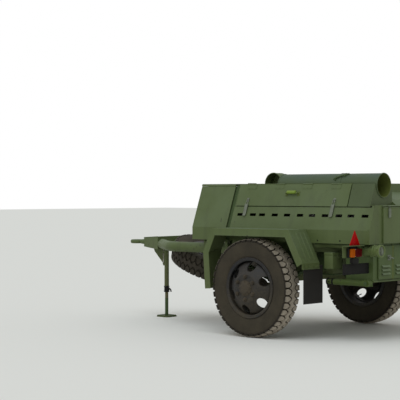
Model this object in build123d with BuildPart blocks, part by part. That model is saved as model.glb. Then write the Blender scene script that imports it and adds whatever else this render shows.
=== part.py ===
from build123d import *
from math import atan2, cos, radians, sin, sqrt, tan
import os

os.makedirs("parts", exist_ok=True)

# Field kitchen trailer, all sizes in millimetres. X runs forward, Y to the left, Z up, floor at Z = 0.
# The origin lies on the floor, half way between the towing eye's tip and the rear pipe's cap.

# Overall reach from the wheels' axis
nose_reach = 2590
tail_reach = 1300
axle_x = (tail_reach - nose_reach) / 2

# Thicknesses and clearances
sheet = 4
plate = 8
seat_gap = 0.3
running_gap = 0.4

# Wheels and tyres
tyre_radius = 467.5
tyre_width = 206
tread_width = 172
rim_radius = 262
rim_flange_radius = 288
rim_width = 178
rim_wall = 8
disc_thickness = 10
hand_hole_count = 6
hand_hole_radius = 45
hand_hole_circle = 205
hub_bore_radius = 72
track = 1790
wheel_z = tyre_radius
wheel_y = track / 2

# Body outline: an upright band, then flanks that lean in to the roof
body_front = axle_x + 940
body_rear = axle_x - 1220
body_half = 765
floor_z = 904
shoulder_z = 1024
roof_z = 1450
roof_half = 610
flank_lean = atan2(body_half - roof_half, roof_z - shoulder_z)

# Front compartment and the sunk strip behind it
strip_rear = axle_x + 440
strip_front = axle_x + 490
strip_sink = 18
front_lid_lip = 24
front_lid_gap = 0.8

# Flank lids and the slotted panels below them
lid_rear = axle_x - 916
lid_front = strip_rear - 4
lid_low = 1235
lid_hinge_radius = 6
lid_hinge_y = roof_half + 1
lid_hinge_z = roof_z - lid_hinge_radius
lid_high = lid_hinge_z
panel_top = 1229
slot_length = 75
slot_height = 28
slot_z = 1152
# Slot centres ahead of the axle
slot_places = (344, 183, 68, -90, -240, -396, -538, -688, -846, -982, -1138)
lid_swing_gap = 0.5

# Roof edge beside the lids' hinge barrels
roof_edge = lid_hinge_y - lid_hinge_radius - lid_swing_gap
roof_rail_width = 8
roof_rail_height = 20

# Rear end of the roof
rear_deck_z = 1250
rear_step_x = axle_x - 950
rear_step_z = 1370
rear_fold_x = axle_x - 1150
rear_fold_z = 1300
rear_bulkhead_x = axle_x - 920
rear_hump_half = 604

# Chimney lying in its trough along the left edge of the roof
chimney_radius = 110
chimney_wall = 3
chimney_gap = 5
chimney_z = 1430
chimney_y = roof_edge - roof_rail_width - chimney_gap - chimney_radius
chimney_front = axle_x - 23
chimney_rear = axle_x - 1180
trough_inner_y = 345
trough_z = 1300
trough_front = axle_x + 230
flue_x = axle_x + 100
flue_z = 1450
flue_radius = 105
flue_mouth_y = 510
flue_back_y = 392
flue_pin_radius = 14
chimney_arm = 10
chimney_arm_y = chimney_y - chimney_radius + chimney_wall - chimney_arm
chimney_arm_height = 80

# Frame below the body
rail_y = 560
rail_width = 60
rail_height = 90
rail_top = floor_z - sheet
rail_front = axle_x + 560
cabinet_front = axle_x - 865
cross_height = 50
cross_width = 60

# Hinges of the rear doors: barrels that stand just clear of the wall behind them
door_hinge_radius = 7
door_hinge_reach = door_hinge_radius + running_gap

# Lower rear cabinet and its doors
cabinet_rear = axle_x - 1165
cabinet_half = 632
cabinet_low = 554
louvre_door_low = 580
louvre_door_high = 880
louvre_door_thickness = 10
side_door_outer = 552
side_door_inner = 350
middle_door_half = 314
cabinet_frame = 24

# Upper rear door, hinged along its lower edge
rear_door_half = 570
rear_door_low = 906
rear_door_high = 1232
rear_door_thickness = 12

# Mudguards outboard of the body
mudguard_outer = 1020
mudguard_lip = 65
# Side outline of a mudguard, ahead of the axle and above the floor; the last part holds the flap, with no lip
mudguard_line = ((532, 438), (557, 796), (450, shoulder_z), (-500, shoulder_z), (-662, 722), (-662, 667))
flap_low = 350
flap_high = 700
flap_inner = 712
flap_outer = 994

# Drawbar: two tubes that run forward from the frame and close in on a boxed head
leg_radius = 52
leg_z = 807
leg_bend_x = axle_x + 1450
leg_bend_radius = 300
head_rear = axle_x + 2000
head_front = axle_x + 2350
head_rear_width = 380
head_rear_height = 138
head_front_width = 110
head_front_height = 98
head_z = 818
leg_end_y = 124
eye_radius = 75
eye_bore = 40
eye_height = 44
neck_radius = 28

# Landing jack below the head
jack_x = axle_x + 2050
jack_tube_radius = 25
jack_bore = 19
jack_leg_radius = 18
jack_travel = 250
jack_foot_size = 170
jack_foot_height = 12
jack_foot_gap = 8
jack_tube_low = jack_foot_height + jack_travel + jack_foot_gap

# Spare wheel slung between the drawbar tubes, front edge up
spare_tilt = 22
spare_x = axle_x + 1330
spare_z = 652
spare_stem_radius = 18

# Axle and springs
axle_size = 70
axle_arch = 70
axle_arch_half = 390
axle_arch_foot = 470
spring_y = rail_y
spring_width = 60
spring_reach = 430
spring_leaf = 10
spring_leaves = 5
spring_seat_half = 60
spring_seat_end = 90
hub_radius = 88
spindle_radius = 34

# Rear props, folded up below the cabinet's sides
prop_radius = 28
prop_reach = 440
prop_side_gap = 10
prop_y = cabinet_half + prop_side_gap + prop_radius
prop_hinge_x = axle_x - 1135
prop_hinge_z = 547
prop_eye_radius = 30
prop_pin_radius = 10
prop_foot_length = 45
prop_lug = 8

# Capped pipe beside the cabinet, inboard of the left lamp
pipe_side_gap = 10
pipe_radius = 45
pipe_collar = 6
pipe_cap = 12
pipe_cap_length = 30
pipe_y = cabinet_half + pipe_side_gap + pipe_radius
pipe_z = 842

# Lamps, reflectors and the blank plate outboard of the lower cabinet
lamp_width = 180
lamp_side_gap = 55
lamp_y = pipe_y + pipe_radius + lamp_side_gap + lamp_width / 2
lamp_height = 86
lamp_depth = 46
lamp_low = 786
lamp_x = axle_x - 1114
lamp_arm_top = floor_z - sheet - 6
triangle_side = 160
blank_plate_width = 385
blank_plate_height = 96
blank_plate_low = 636


def flank_y(height, inset=0):
    # Half width of the body at a height, measured to a surface inset below the skin
    if height <= shoulder_z - inset * tan(flank_lean / 2):
        return body_half - inset
    return body_half - (height - shoulder_z) * tan(flank_lean) - inset / cos(flank_lean)


def flank_line(side, low, high, inset):
    # Points up one flank between two heights, with the shoulder's corner if it lies between
    points = [(side * flank_y(low, inset), low)]
    corner = shoulder_z - inset * tan(flank_lean / 2)
    if low < corner < high:
        points.append((side * (body_half - inset), corner))
    points.append((side * flank_y(high, inset), high))
    return points


def flank_outline(side, low, high, inset, depth):
    # Closed outline of a flank's sheet between two heights
    outer = flank_line(side, low, high, inset)
    inner = flank_line(side, low, high, inset + depth)
    return outer + inner[::-1] + outer[:1]


def body_outline(low, high, inset):
    # Closed cross section of the whole body between two heights
    left = flank_line(1, low, high, inset)
    right = flank_line(-1, low, high, inset)
    return left + right[::-1] + left[:1]


def inner_line(points, depth):
    # Points of an open line set off to its left by a depth, mitred at the corners
    ahead = [(b[0] - a[0], b[1] - a[1]) for a, b in zip(points, points[1:])]
    lengths = [sqrt(x * x + z * z) for x, z in ahead]
    left = [(-z / size, x / size) for (x, z), size in zip(ahead, lengths)]
    before = left[:1] + left
    after = left + left[-1:]
    moved = []
    for (x, z), (ax, az), (bx, bz) in zip(points, before, after):
        share = depth / (1 + ax * bx + az * bz)
        moved.append((x + (ax + bx) * share, z + (az + bz) * share))
    return moved


def save(piece, name):
    piece.part.label = name
    export_step(piece.part, f"parts/{name}.step")


# Frame: two box rails under the floor, cross members and the spring hangers
rail_rear = cabinet_front + seat_gap
rail_middle_z = rail_top - rail_height / 2
# Cross members: place ahead of the axle
cross_places = (520, 160, -160, -520, -830)
hanger_x = spring_reach
hanger_low = 690
hanger_thickness = 40
with BuildPart() as chassis_frame:
    with BuildSketch(Plane.YZ.offset(rail_rear)):
        with Locations((rail_y, rail_middle_z), (-rail_y, rail_middle_z)):
            Rectangle(rail_width, rail_height)
    extrude(amount=rail_front - rail_rear)
    with BuildSketch(Plane.XY.offset(rail_top - cross_height)):
        with Locations(*[(axle_x + x, 0) for x in cross_places]):
            Rectangle(cross_width, 2 * rail_y)
    extrude(amount=cross_height)
    with BuildSketch(Plane.XY.offset(hanger_low)):
        with Locations(*[(axle_x + x, y) for x in (hanger_x, -hanger_x) for y in (rail_y, -rail_y)]):
            Rectangle(hanger_thickness, rail_width)
    extrude(amount=rail_top - rail_height - hanger_low)
save(chassis_frame, "chassis_frame")

# Drawbar tubes with the two cross pads that carry the body's nose
pad_places = (620, 900)
pad_width = 50
leg_slope = (rail_y - leg_end_y) / (head_rear - leg_bend_x)
leg_overrun = 40
with BuildPart() as drawbar_legs:
    for side in (1, -1):
        with BuildLine() as leg_path:
            FilletPolyline(
                (rail_front, side * rail_y, leg_z),
                (leg_bend_x, side * rail_y, leg_z),
                (head_rear + leg_overrun, side * (leg_end_y - leg_overrun * leg_slope), leg_z),
                radius=leg_bend_radius,
            )
        with BuildSketch(Plane.YZ.offset(rail_front)):
            with Locations((side * rail_y, leg_z)):
                Circle(leg_radius)
        sweep(path=leg_path.wire())
    with BuildSketch(Plane.XY.offset(leg_z)):
        with Locations(*[(axle_x + x, side * rail_y) for x in pad_places for side in (1, -1)]):
            Rectangle(pad_width, pad_width)
    extrude(amount=rail_top - leg_z)
    with BuildSketch(Plane.YZ.offset(head_rear)):
        with Locations((0, leg_z)):
            Rectangle(2 * body_half, 4 * leg_radius)
    extrude(amount=leg_bend_radius, mode=Mode.SUBTRACT)
save(drawbar_legs, "drawbar_legs")

# Boxed head of the drawbar, with the neck that holds the towing eye
eye_x = axle_x + nose_reach - eye_radius
with BuildPart() as drawbar_head:
    with BuildSketch(Plane.YZ.offset(head_rear)):
        with Locations((0, head_z)):
            Rectangle(head_rear_width, head_rear_height)
    with BuildSketch(Plane.YZ.offset(head_front)):
        with Locations((0, head_z)):
            Rectangle(head_front_width, head_front_height)
    loft()
save(drawbar_head, "drawbar_head")

with BuildPart() as tow_eye:
    with BuildSketch(Plane.YZ.offset(head_front)):
        with Locations((0, head_z)):
            Circle(neck_radius)
    extrude(amount=eye_x - (eye_radius + eye_bore) / 2 - head_front)
    with BuildSketch(Plane.XY.offset(head_z - eye_height / 2)):
        with Locations((eye_x, 0)):
            Circle(eye_radius)
    extrude(amount=eye_height)
    chamfer(tow_eye.edges().filter_by(GeomType.CIRCLE).group_by(Axis.X)[-1], length=eye_height / 4)
    with BuildSketch(Plane.XY.offset(head_z - eye_height)):
        with Locations((eye_x, 0)):
            Circle(eye_bore)
    extrude(amount=2 * eye_height, mode=Mode.SUBTRACT)
save(tow_eye, "tow_eye")

# Axle beam with its spindles, arched between the springs
hub_inner_y = wheel_y - 100
spindle_end_y = wheel_y + 110
with BuildPart() as axle_beam:
    with BuildSketch(Plane.YZ.offset(axle_x - axle_size / 2)):
        with BuildLine():
            Polyline(
                (-hub_inner_y, wheel_z - axle_size / 2),
                (-axle_arch_foot, wheel_z - axle_size / 2),
                (-axle_arch_half, wheel_z - axle_size / 2 + axle_arch),
                (axle_arch_half, wheel_z - axle_size / 2 + axle_arch),
                (axle_arch_foot, wheel_z - axle_size / 2),
                (hub_inner_y, wheel_z - axle_size / 2),
                (hub_inner_y, wheel_z + axle_size / 2),
                (axle_arch_foot, wheel_z + axle_size / 2),
                (axle_arch_half, wheel_z + axle_size / 2 + axle_arch),
                (-axle_arch_half, wheel_z + axle_size / 2 + axle_arch),
                (-axle_arch_foot, wheel_z + axle_size / 2),
                (-hub_inner_y, wheel_z + axle_size / 2),
                close=True,
            )
        make_face()
    extrude(amount=axle_size)
    for side in (1, -1):
        with BuildSketch(Plane.XZ.offset(-side * hub_inner_y)):
            with Locations((axle_x, wheel_z)):
                Circle(spindle_radius)
        extrude(amount=-side * (spindle_end_y - hub_inner_y))
save(axle_beam, "axle_beam")

# Leaf springs: stacks that shorten downwards, on pads above the axle
spring_top = hanger_low
spring_low = wheel_z + axle_size / 2
with BuildPart() as leaf_springs:
    for side in (1, -1):
        with BuildSketch(Plane.XZ.offset(-side * spring_y - spring_width / 2)):
            with BuildLine():
                Polyline(
                    (axle_x - spring_reach - hanger_thickness / 2, spring_top),
                    (axle_x - spring_reach - hanger_thickness / 2, spring_top - spring_leaf),
                    (axle_x - spring_seat_end, spring_low + spring_leaf),
                    (axle_x - spring_seat_half, spring_low),
                    (axle_x + spring_seat_half, spring_low),
                    (axle_x + spring_seat_end, spring_low + spring_leaf),
                    (axle_x + spring_reach + hanger_thickness / 2, spring_top - spring_leaf),
                    (axle_x + spring_reach + hanger_thickness / 2, spring_top),
                    (axle_x + spring_reach - hanger_thickness, spring_top),
                    (axle_x + spring_seat_end, spring_low + spring_leaves * spring_leaf),
                    (axle_x - spring_seat_end, spring_low + spring_leaves * spring_leaf),
                    (axle_x - spring_reach + hanger_thickness, spring_top),
                    close=True,
                )
            make_face()
        extrude(amount=spring_width)
save(leaf_springs, "leaf_springs")

# Floor of the body
with BuildPart() as floor_pan:
    with BuildSketch(Plane.XY.offset(rail_top)):
        with Locations(((body_front + body_rear) / 2, 0)):
            Rectangle(body_front - body_rear - 2 * sheet, 2 * (body_half - sheet))
    extrude(amount=sheet)
save(floor_pan, "floor_pan")

# Slotted side panels of the main space, down to the band's lower edge
with BuildPart() as side_panels:
    for side in (1, -1):
        with BuildSketch(Plane.YZ.offset(body_rear)):
            with BuildLine():
                Polyline(*flank_outline(side, rail_top, panel_top, 0, sheet))
            make_face()
        extrude(amount=strip_rear - body_rear)
    with BuildSketch(Plane.XZ.offset(-body_half)):
        with Locations(*[(axle_x + x, slot_z) for x in slot_places]):
            Rectangle(slot_length, slot_height * cos(flank_lean))
    extrude(amount=2 * body_half, mode=Mode.SUBTRACT)
save(side_panels, "side_panels")

# Front compartment: front wall and both flanks in one folded sheet, open above for its lid
front_top = roof_z - front_lid_lip
with BuildPart() as front_shell:
    with BuildSketch(Plane.YZ.offset(strip_front)):
        with BuildLine():
            Polyline(*body_outline(rail_top, front_top, 0))
        make_face()
    extrude(amount=body_front - strip_front)
    with BuildSketch(Plane.YZ.offset(strip_front)):
        with BuildLine():
            Polyline(*body_outline(rail_top, front_top, sheet))
        make_face()
    extrude(amount=body_front - strip_front - sheet, mode=Mode.SUBTRACT)
save(front_shell, "front_shell")

# Lid of the front compartment, a shallow cap hinged along its rear edge
front_lid_rear = strip_front + 2
front_hinge_x = front_lid_rear + 5
front_hinge_z = roof_z + 3
front_hinge_places = (-360, 360)
front_barrel_length = 120
with BuildPart() as front_lid:
    with BuildSketch(Plane.YZ.offset(front_lid_rear)):
        with BuildLine():
            Polyline(*body_outline(front_top + front_lid_gap, roof_z, 0))
        make_face()
    extrude(amount=body_front - front_lid_rear)
    with BuildSketch(Plane.YZ.offset(front_lid_rear + sheet)):
        with BuildLine():
            Polyline(*body_outline(front_top + front_lid_gap, roof_z - sheet, sheet))
        make_face()
    extrude(amount=body_front - front_lid_rear - 2 * sheet, mode=Mode.SUBTRACT)
    for place in front_hinge_places:
        with BuildSketch(Plane.XZ.offset(-place - front_barrel_length / 2)):
            with Locations((front_hinge_x, front_hinge_z)):
                Circle(lid_hinge_radius)
        extrude(amount=front_barrel_length)
save(front_lid, "front_lid")

# Partition with the sunk strip around its edge; the strip is lower where the front lid covers it
partition_x = (strip_rear + strip_front) / 2
hoop_rear = strip_rear - strip_sink
hoop_middle = strip_front - sheet
hoop_front = strip_front + strip_sink
hoop_low_top = front_top - 2 * sheet
hoop_top = roof_z - sheet
# Lengths of the hoop: start, end, top of its outside, top of its inside
hoop_lengths = (
    (hoop_rear, hoop_middle, hoop_top, hoop_top - sheet),
    (hoop_middle, hoop_front, hoop_low_top, hoop_low_top),
)
with BuildPart() as partition:
    for start, end, top, inner_top in hoop_lengths:
        with BuildSketch(Plane.YZ.offset(start)):
            with BuildLine():
                Polyline(*body_outline(floor_z, top, strip_sink))
            make_face()
        extrude(amount=end - start)
    for start, end, top, inner_top in hoop_lengths:
        with BuildSketch(Plane.YZ.offset(start)):
            with BuildLine():
                Polyline(*body_outline(floor_z, inner_top, strip_sink + sheet))
            make_face()
        extrude(amount=end - start, mode=Mode.SUBTRACT)
    with BuildSketch(Plane.YZ.offset(partition_x)):
        with BuildLine():
            Polyline(*body_outline(floor_z, hoop_top, strip_sink))
        make_face()
    extrude(amount=sheet)
save(partition, "partition")

# Roof sheet between the lids' hinges, open on the left where the chimney lies
with BuildPart() as roof:
    with BuildSketch(Plane.XY.offset(roof_z - sheet)):
        with Locations(((strip_front + rear_bulkhead_x) / 2, 0)):
            Rectangle(strip_front - rear_bulkhead_x, 2 * roof_edge)
    extrude(amount=sheet)
    with BuildSketch(Plane.XY.offset(roof_z - roof_rail_height)):
        rail_y_middle = roof_edge - roof_rail_width / 2
        with Locations(*[((hoop_rear + rear_bulkhead_x) / 2, side * rail_y_middle) for side in (1, -1)]):
            Rectangle(hoop_rear - rear_bulkhead_x, roof_rail_width)
    extrude(amount=roof_rail_height)
    slot_middle = (trough_inner_y + roof_edge - roof_rail_width) / 2
    with BuildSketch(Plane.XY.offset(roof_z - sheet)):
        with Locations(((trough_front + rear_bulkhead_x) / 2, slot_middle)):
            Rectangle(trough_front - rear_bulkhead_x, roof_edge - roof_rail_width - trough_inner_y)
    extrude(amount=sheet, mode=Mode.SUBTRACT)
save(roof, "roof")

# Bed of the chimney: the trough below it, and the saddle below its rear end with a skirt flush with the lid
trough_outer_y = flank_y(trough_z, sheet) - 12
trough_length = trough_front - rear_bulkhead_x
slot_outer_y = roof_edge - roof_rail_width
saddle_front = rear_bulkhead_x - sheet - seat_gap
saddle_rear = chimney_rear + 2 * sheet
with BuildPart() as chimney_bed:
    with BuildSketch(Plane.XY.offset(trough_z - sheet)):
        with Locations(((trough_front + rear_bulkhead_x) / 2, (trough_inner_y + trough_outer_y) / 2)):
            Rectangle(trough_length, trough_outer_y - trough_inner_y)
    extrude(amount=sheet)
    with BuildSketch(Plane.XY.offset(trough_z - sheet)):
        with Locations(((trough_front + rear_bulkhead_x) / 2, trough_inner_y - sheet / 2)):
            Rectangle(trough_length, sheet)
        with Locations((trough_front + sheet / 2, (trough_inner_y - sheet + slot_outer_y) / 2)):
            Rectangle(sheet, slot_outer_y - trough_inner_y + sheet)
    extrude(amount=roof_z - trough_z)
    with BuildSketch(Plane.YZ.offset(saddle_rear)):
        with BuildLine():
            Polyline(*flank_outline(1, rear_deck_z, lid_high, 0, sheet))
        make_face()
    extrude(amount=saddle_front - saddle_rear)
    with BuildSketch(Plane.YZ.offset(saddle_rear)):
        with BuildLine():
            Polyline(
                (trough_inner_y, rear_deck_z),
                (flank_y(rear_deck_z), rear_deck_z),
                (flank_y(lid_high), lid_high),
                (chimney_y, lid_high),
                (chimney_y, chimney_z),
                (trough_inner_y, chimney_z),
                close=True,
            )
        make_face()
        with Locations((chimney_y, chimney_z)):
            Circle(chimney_radius + chimney_gap, mode=Mode.SUBTRACT)
    extrude(amount=sheet)
save(chimney_bed, "chimney_bed")

# Flue elbow: a short drum that faces left above its duct
duct_length = 130
with BuildPart() as flue_elbow:
    with BuildSketch(Plane.XZ.offset(-flue_mouth_y)):
        with Locations((flue_x, flue_z)):
            Circle(flue_radius)
    extrude(amount=flue_mouth_y - flue_back_y)
    with BuildSketch(Plane.XY.offset(trough_z)):
        with Locations((flue_x, (flue_mouth_y + flue_back_y) / 2)):
            Rectangle(duct_length, flue_mouth_y - flue_back_y)
    extrude(amount=flue_z - trough_z)
    with BuildSketch(Plane.XZ.offset(-flue_mouth_y)):
        with Locations((flue_x, flue_z)):
            Circle(flue_radius - sheet)
    extrude(amount=flue_mouth_y - flue_back_y - sheet, mode=Mode.SUBTRACT)
    with BuildSketch(Plane.XZ.offset(-flue_back_y)):
        with Locations((flue_x, flue_z)):
            Circle(flue_pin_radius)
    extrude(amount=flue_back_y - trough_inner_y - plate)
save(flue_elbow, "flue_elbow")

# Chimney tube, open at both ends, with the arm that turns on the elbow's pin
arm_half = chimney_arm_height / 2
with BuildPart() as chimney:
    with BuildSketch(Plane.YZ.offset(chimney_rear)):
        with Locations((chimney_y, chimney_z)):
            Circle(chimney_radius)
    extrude(amount=chimney_front - chimney_rear)
    with BuildSketch(Plane.XZ.offset(-chimney_arm_y - chimney_arm)):
        with BuildLine():
            Polyline(
                (chimney_front - 4 * arm_half, flue_z - arm_half),
                (flue_x, flue_z - arm_half),
                (flue_x, flue_z + arm_half),
                (chimney_front - 4 * arm_half, flue_z + arm_half),
                close=True,
            )
        make_face()
        with Locations((flue_x, flue_z)):
            Circle(arm_half)
    extrude(amount=chimney_arm)
    with BuildSketch(Plane.YZ.offset(chimney_rear)):
        with Locations((chimney_y, chimney_z)):
            Circle(chimney_radius - chimney_wall)
    extrude(amount=chimney_front - chimney_rear, mode=Mode.SUBTRACT)
    with BuildSketch(Plane.XZ.offset(-chimney_arm_y - 2 * chimney_arm)):
        with Locations((flue_x, flue_z)):
            Circle(flue_pin_radius + running_gap)
    extrude(amount=3 * chimney_arm, mode=Mode.SUBTRACT)
save(chimney, "chimney")

# Rear roof: a folded hump on a flat deck, with the bulkhead in front of it
hump_line = (
    (rear_bulkhead_x, rear_deck_z),
    (rear_bulkhead_x, roof_z),
    (rear_step_x + sheet, roof_z),
    (rear_step_x, rear_step_z),
    (rear_fold_x, rear_fold_z),
    (body_rear + sheet, rear_deck_z),
)
deck_half = flank_y(rear_deck_z)
with BuildPart() as rear_roof:
    with BuildSketch(Plane.XY.offset(rear_deck_z - sheet)):
        with Locations(((rear_bulkhead_x + body_rear) / 2, 0)):
            Rectangle(rear_bulkhead_x - body_rear, 2 * deck_half)
    extrude(amount=sheet)
    with BuildSketch(Plane.XZ.offset(-trough_inner_y)):
        with BuildLine():
            Polyline(*hump_line, close=True)
        make_face()
    extrude(amount=trough_inner_y + rear_hump_half)
    with BuildSketch(Plane.XZ.offset(-trough_inner_y + sheet)):
        with BuildLine():
            Polyline(*hump_line, close=True)
        make_face()
        offset(amount=-sheet, mode=Mode.REPLACE)
    extrude(amount=trough_inner_y + rear_hump_half - 2 * sheet, mode=Mode.SUBTRACT)
    with BuildSketch(Plane.XY.offset(rear_deck_z - sheet)):
        with Locations(((rear_bulkhead_x + body_rear) / 2, (trough_inner_y - rear_hump_half) / 2)):
            Rectangle(
                rear_bulkhead_x - body_rear - 4 * sheet,
                trough_inner_y + rear_hump_half - 4 * sheet,
            )
    extrude(amount=2 * sheet, mode=Mode.SUBTRACT)
    with BuildSketch(Plane.YZ.offset(rear_bulkhead_x - sheet)):
        with BuildLine():
            Polyline(*body_outline(rear_deck_z - sheet, lid_high, 2 * sheet))
        make_face()
        with Locations(((trough_inner_y + rear_hump_half + sheet) / 2, (trough_z + roof_z) / 2)):
            Rectangle(rear_hump_half + sheet - trough_inner_y, roof_z - trough_z, mode=Mode.SUBTRACT)
    extrude(amount=sheet)
save(rear_roof, "rear_roof")

# Rear wall with the opening behind the upper door
rear_opening_half = rear_door_half - 30
rear_opening_low = rear_door_low + 16
rear_opening_high = rear_door_high - 30
with BuildPart() as rear_wall:
    with BuildSketch(Plane.YZ.offset(body_rear)):
        with BuildLine():
            Polyline(*body_outline(rail_top, rear_deck_z - sheet, sheet))
        make_face()
        with Locations((0, (rear_opening_low + rear_opening_high) / 2)):
            Rectangle(2 * rear_opening_half, rear_opening_high - rear_opening_low, mode=Mode.SUBTRACT)
    extrude(amount=sheet)
save(rear_wall, "rear_wall")

# Flank lids, each with its hinge barrels along the upper edge
barrel_count = 4
barrel_length = 120
lid_length = lid_front - lid_rear
for side, name in ((1, "lid_left"), (-1, "lid_right")):
    with BuildPart() as lid:
        with BuildSketch(Plane.YZ.offset(lid_rear)):
            with BuildLine():
                Polyline(*flank_outline(side, lid_low, lid_high, 0, sheet))
            make_face()
        extrude(amount=lid_length)
        for barrel in range(barrel_count):
            barrel_rear = lid_rear + (barrel + 0.5) * lid_length / barrel_count - barrel_length / 2
            with BuildSketch(Plane.YZ.offset(barrel_rear)):
                with Locations((side * lid_hinge_y, lid_hinge_z)):
                    Circle(lid_hinge_radius)
            extrude(amount=barrel_length)
    save(lid, name)

# Handle and the two draw latches that ride on each lid
latch_places = (285, -760)
latch_width = 34
latch_high = 1250
latch_low = 1138
latch_depth = 14
latch_clearance = 5
latch_foot_z = lid_low + 2
handle_place = -252
handle_length = 150
handle_high = 1374
handle_low = 1346
handle_upper_depth = 26
handle_lower_depth = 34
for side, name in ((1, "lid_fittings_left"), (-1, "lid_fittings_right")):
    with BuildPart() as fittings:
        for place in latch_places:
            with BuildSketch(Plane.YZ.offset(axle_x + place - latch_width / 2)):
                with BuildLine():
                    Polyline(
                        (side * flank_y(latch_high, -seat_gap), latch_high),
                        (side * flank_y(latch_high, -latch_depth), latch_high),
                        (side * flank_y(latch_low, -latch_depth), latch_low),
                        (side * flank_y(latch_low, -latch_clearance), latch_low),
                        (side * flank_y(latch_foot_z, -latch_clearance), latch_foot_z),
                        (side * flank_y(latch_foot_z, -seat_gap), latch_foot_z),
                        close=True,
                    )
                make_face()
            extrude(amount=latch_width)
        with BuildSketch(Plane.YZ.offset(axle_x + handle_place - handle_length / 2)):
            with BuildLine():
                Polyline(
                    (side * flank_y(handle_high, -seat_gap), handle_high),
                    (side * flank_y(handle_high, -handle_upper_depth), handle_high),
                    (side * flank_y(handle_low, -handle_lower_depth), handle_low),
                    (side * flank_y(handle_low, -seat_gap), handle_low),
                    close=True,
                )
            make_face()
        extrude(amount=handle_length)
    save(fittings, name)

# Upper rear door, a shallow pan with hinge barrels along its lower edge
door_hinge_x = body_rear - door_hinge_reach
door_outer_x = door_hinge_x - rear_door_thickness / 2
door_hinge_z = rear_door_low - door_hinge_radius + 1
with BuildPart() as rear_door:
    with BuildSketch(Plane.YZ.offset(door_outer_x)):
        with Locations((0, (rear_door_low + rear_door_high) / 2)):
            Rectangle(2 * rear_door_half, rear_door_high - rear_door_low)
    extrude(amount=rear_door_thickness)
    with BuildSketch(Plane.YZ.offset(door_outer_x + sheet)):
        with Locations((0, (rear_door_low + rear_door_high) / 2)):
            Rectangle(2 * (rear_door_half - sheet), rear_door_high - rear_door_low - 2 * sheet)
    extrude(amount=rear_door_thickness, mode=Mode.SUBTRACT)
    for place in (-2 * barrel_length, 2 * barrel_length):
        with BuildSketch(Plane.XZ.offset(-place - barrel_length / 2)):
            with Locations((door_hinge_x, door_hinge_z)):
                Circle(door_hinge_radius)
        extrude(amount=barrel_length)
save(rear_door, "rear_door")

# Lower cabinet, set back under the rear wall and open behind its three doors, with the props' lugs below
cabinet_top = rail_top
lug_low = prop_hinge_z - prop_eye_radius
lug_high = prop_hinge_z + prop_eye_radius
lug_inner = cabinet_half
lug_width = 2 * prop_pin_radius + 4 * prop_lug
pin_length = prop_lug + 2 * prop_radius + 6
with BuildPart() as lower_cabinet:
    with BuildSketch(Plane.YZ.offset(cabinet_rear)):
        with Locations((0, (cabinet_low + cabinet_top) / 2)):
            Rectangle(2 * cabinet_half, cabinet_top - cabinet_low)
    extrude(amount=cabinet_front - cabinet_rear)
    with BuildSketch(Plane.YZ.offset(cabinet_rear + sheet)):
        with Locations((0, (cabinet_low + cabinet_top) / 2)):
            Rectangle(2 * (cabinet_half - sheet), cabinet_top - cabinet_low - 2 * sheet)
    extrude(amount=cabinet_front - cabinet_rear - 2 * sheet, mode=Mode.SUBTRACT)
    opening_height = louvre_door_high - louvre_door_low - 2 * cabinet_frame
    side_opening = side_door_outer - side_door_inner - cabinet_frame
    opening_z = (louvre_door_low + louvre_door_high) / 2
    with BuildSketch(Plane.YZ.offset(cabinet_rear)):
        with Locations((0, opening_z)):
            Rectangle(2 * (middle_door_half - cabinet_frame), opening_height)
        for side in (1, -1):
            with Locations((side * (side_door_outer + side_door_inner) / 2, opening_z)):
                Rectangle(side_opening, opening_height)
    extrude(amount=sheet, mode=Mode.SUBTRACT)
    for side in (1, -1):
        with BuildSketch(Plane.XZ.offset(-side * lug_inner)):
            with Locations((prop_hinge_x, (lug_low + lug_high) / 2)):
                Rectangle(lug_width, lug_high - lug_low)
        extrude(amount=-side * prop_lug)
        with BuildSketch(Plane.XZ.offset(-side * lug_inner)):
            with Locations((prop_hinge_x, prop_hinge_z)):
                Circle(prop_pin_radius)
        extrude(amount=-side * pin_length)
save(lower_cabinet, "lower_cabinet")

# Lower doors with rows of louvre slits
louvre_rows = 3
louvre_pitch = 34
louvre_first_z = 621
louvre_slit = 8
louvre_hinge_x = cabinet_rear - door_hinge_reach
louvre_door_x = louvre_hinge_x - louvre_door_thickness / 2
# Each door: name, hinge side edge, free edge, louvre columns as middle and length
louvre_doors = (
    ("louvre_door_left", side_door_outer, side_door_inner, ((454, 124),)),
    ("louvre_door_middle", middle_door_half, -middle_door_half, ((233, 124), (0, 124), (-233, 124))),
    ("louvre_door_right", -side_door_outer, -side_door_inner, ((-454, 124),)),
)
for name, hinge_edge, free_edge, columns in louvre_doors:
    outward = 1 if hinge_edge > 0 else -1
    with BuildPart() as louvre_door:
        with BuildSketch(Plane.YZ.offset(louvre_door_x)):
            with Locations(((hinge_edge + free_edge) / 2, (louvre_door_low + louvre_door_high) / 2)):
                Rectangle(abs(hinge_edge - free_edge), louvre_door_high - louvre_door_low)
            for column_y, column_length in columns:
                for row in range(louvre_rows):
                    with Locations((column_y, louvre_first_z + row * louvre_pitch)):
                        Rectangle(column_length, louvre_slit, mode=Mode.SUBTRACT)
        extrude(amount=louvre_door_thickness)
        with BuildSketch(Plane.XY.offset(louvre_door_low)):
            with Locations((louvre_hinge_x, hinge_edge + outward * (door_hinge_radius - 1))):
                Circle(door_hinge_radius)
        extrude(amount=louvre_door_high - louvre_door_low)
    save(louvre_door, name)

# Cauldrons under the lids, and the open-topped firebox hung below them
cauldron_places = (-560, -60)
cauldron_radius = 215
cauldron_top = 1280
firebox_low = 585
firebox_half = 400
firebox_front = axle_x + 220
firebox_rear = axle_x - 540
with BuildPart() as cauldrons:
    with BuildSketch(Plane.XY.offset(floor_z)):
        with Locations(*[(axle_x + place, 0) for place in cauldron_places]):
            Circle(cauldron_radius)
    extrude(amount=cauldron_top - floor_z)
save(cauldrons, "cauldrons")

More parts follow.
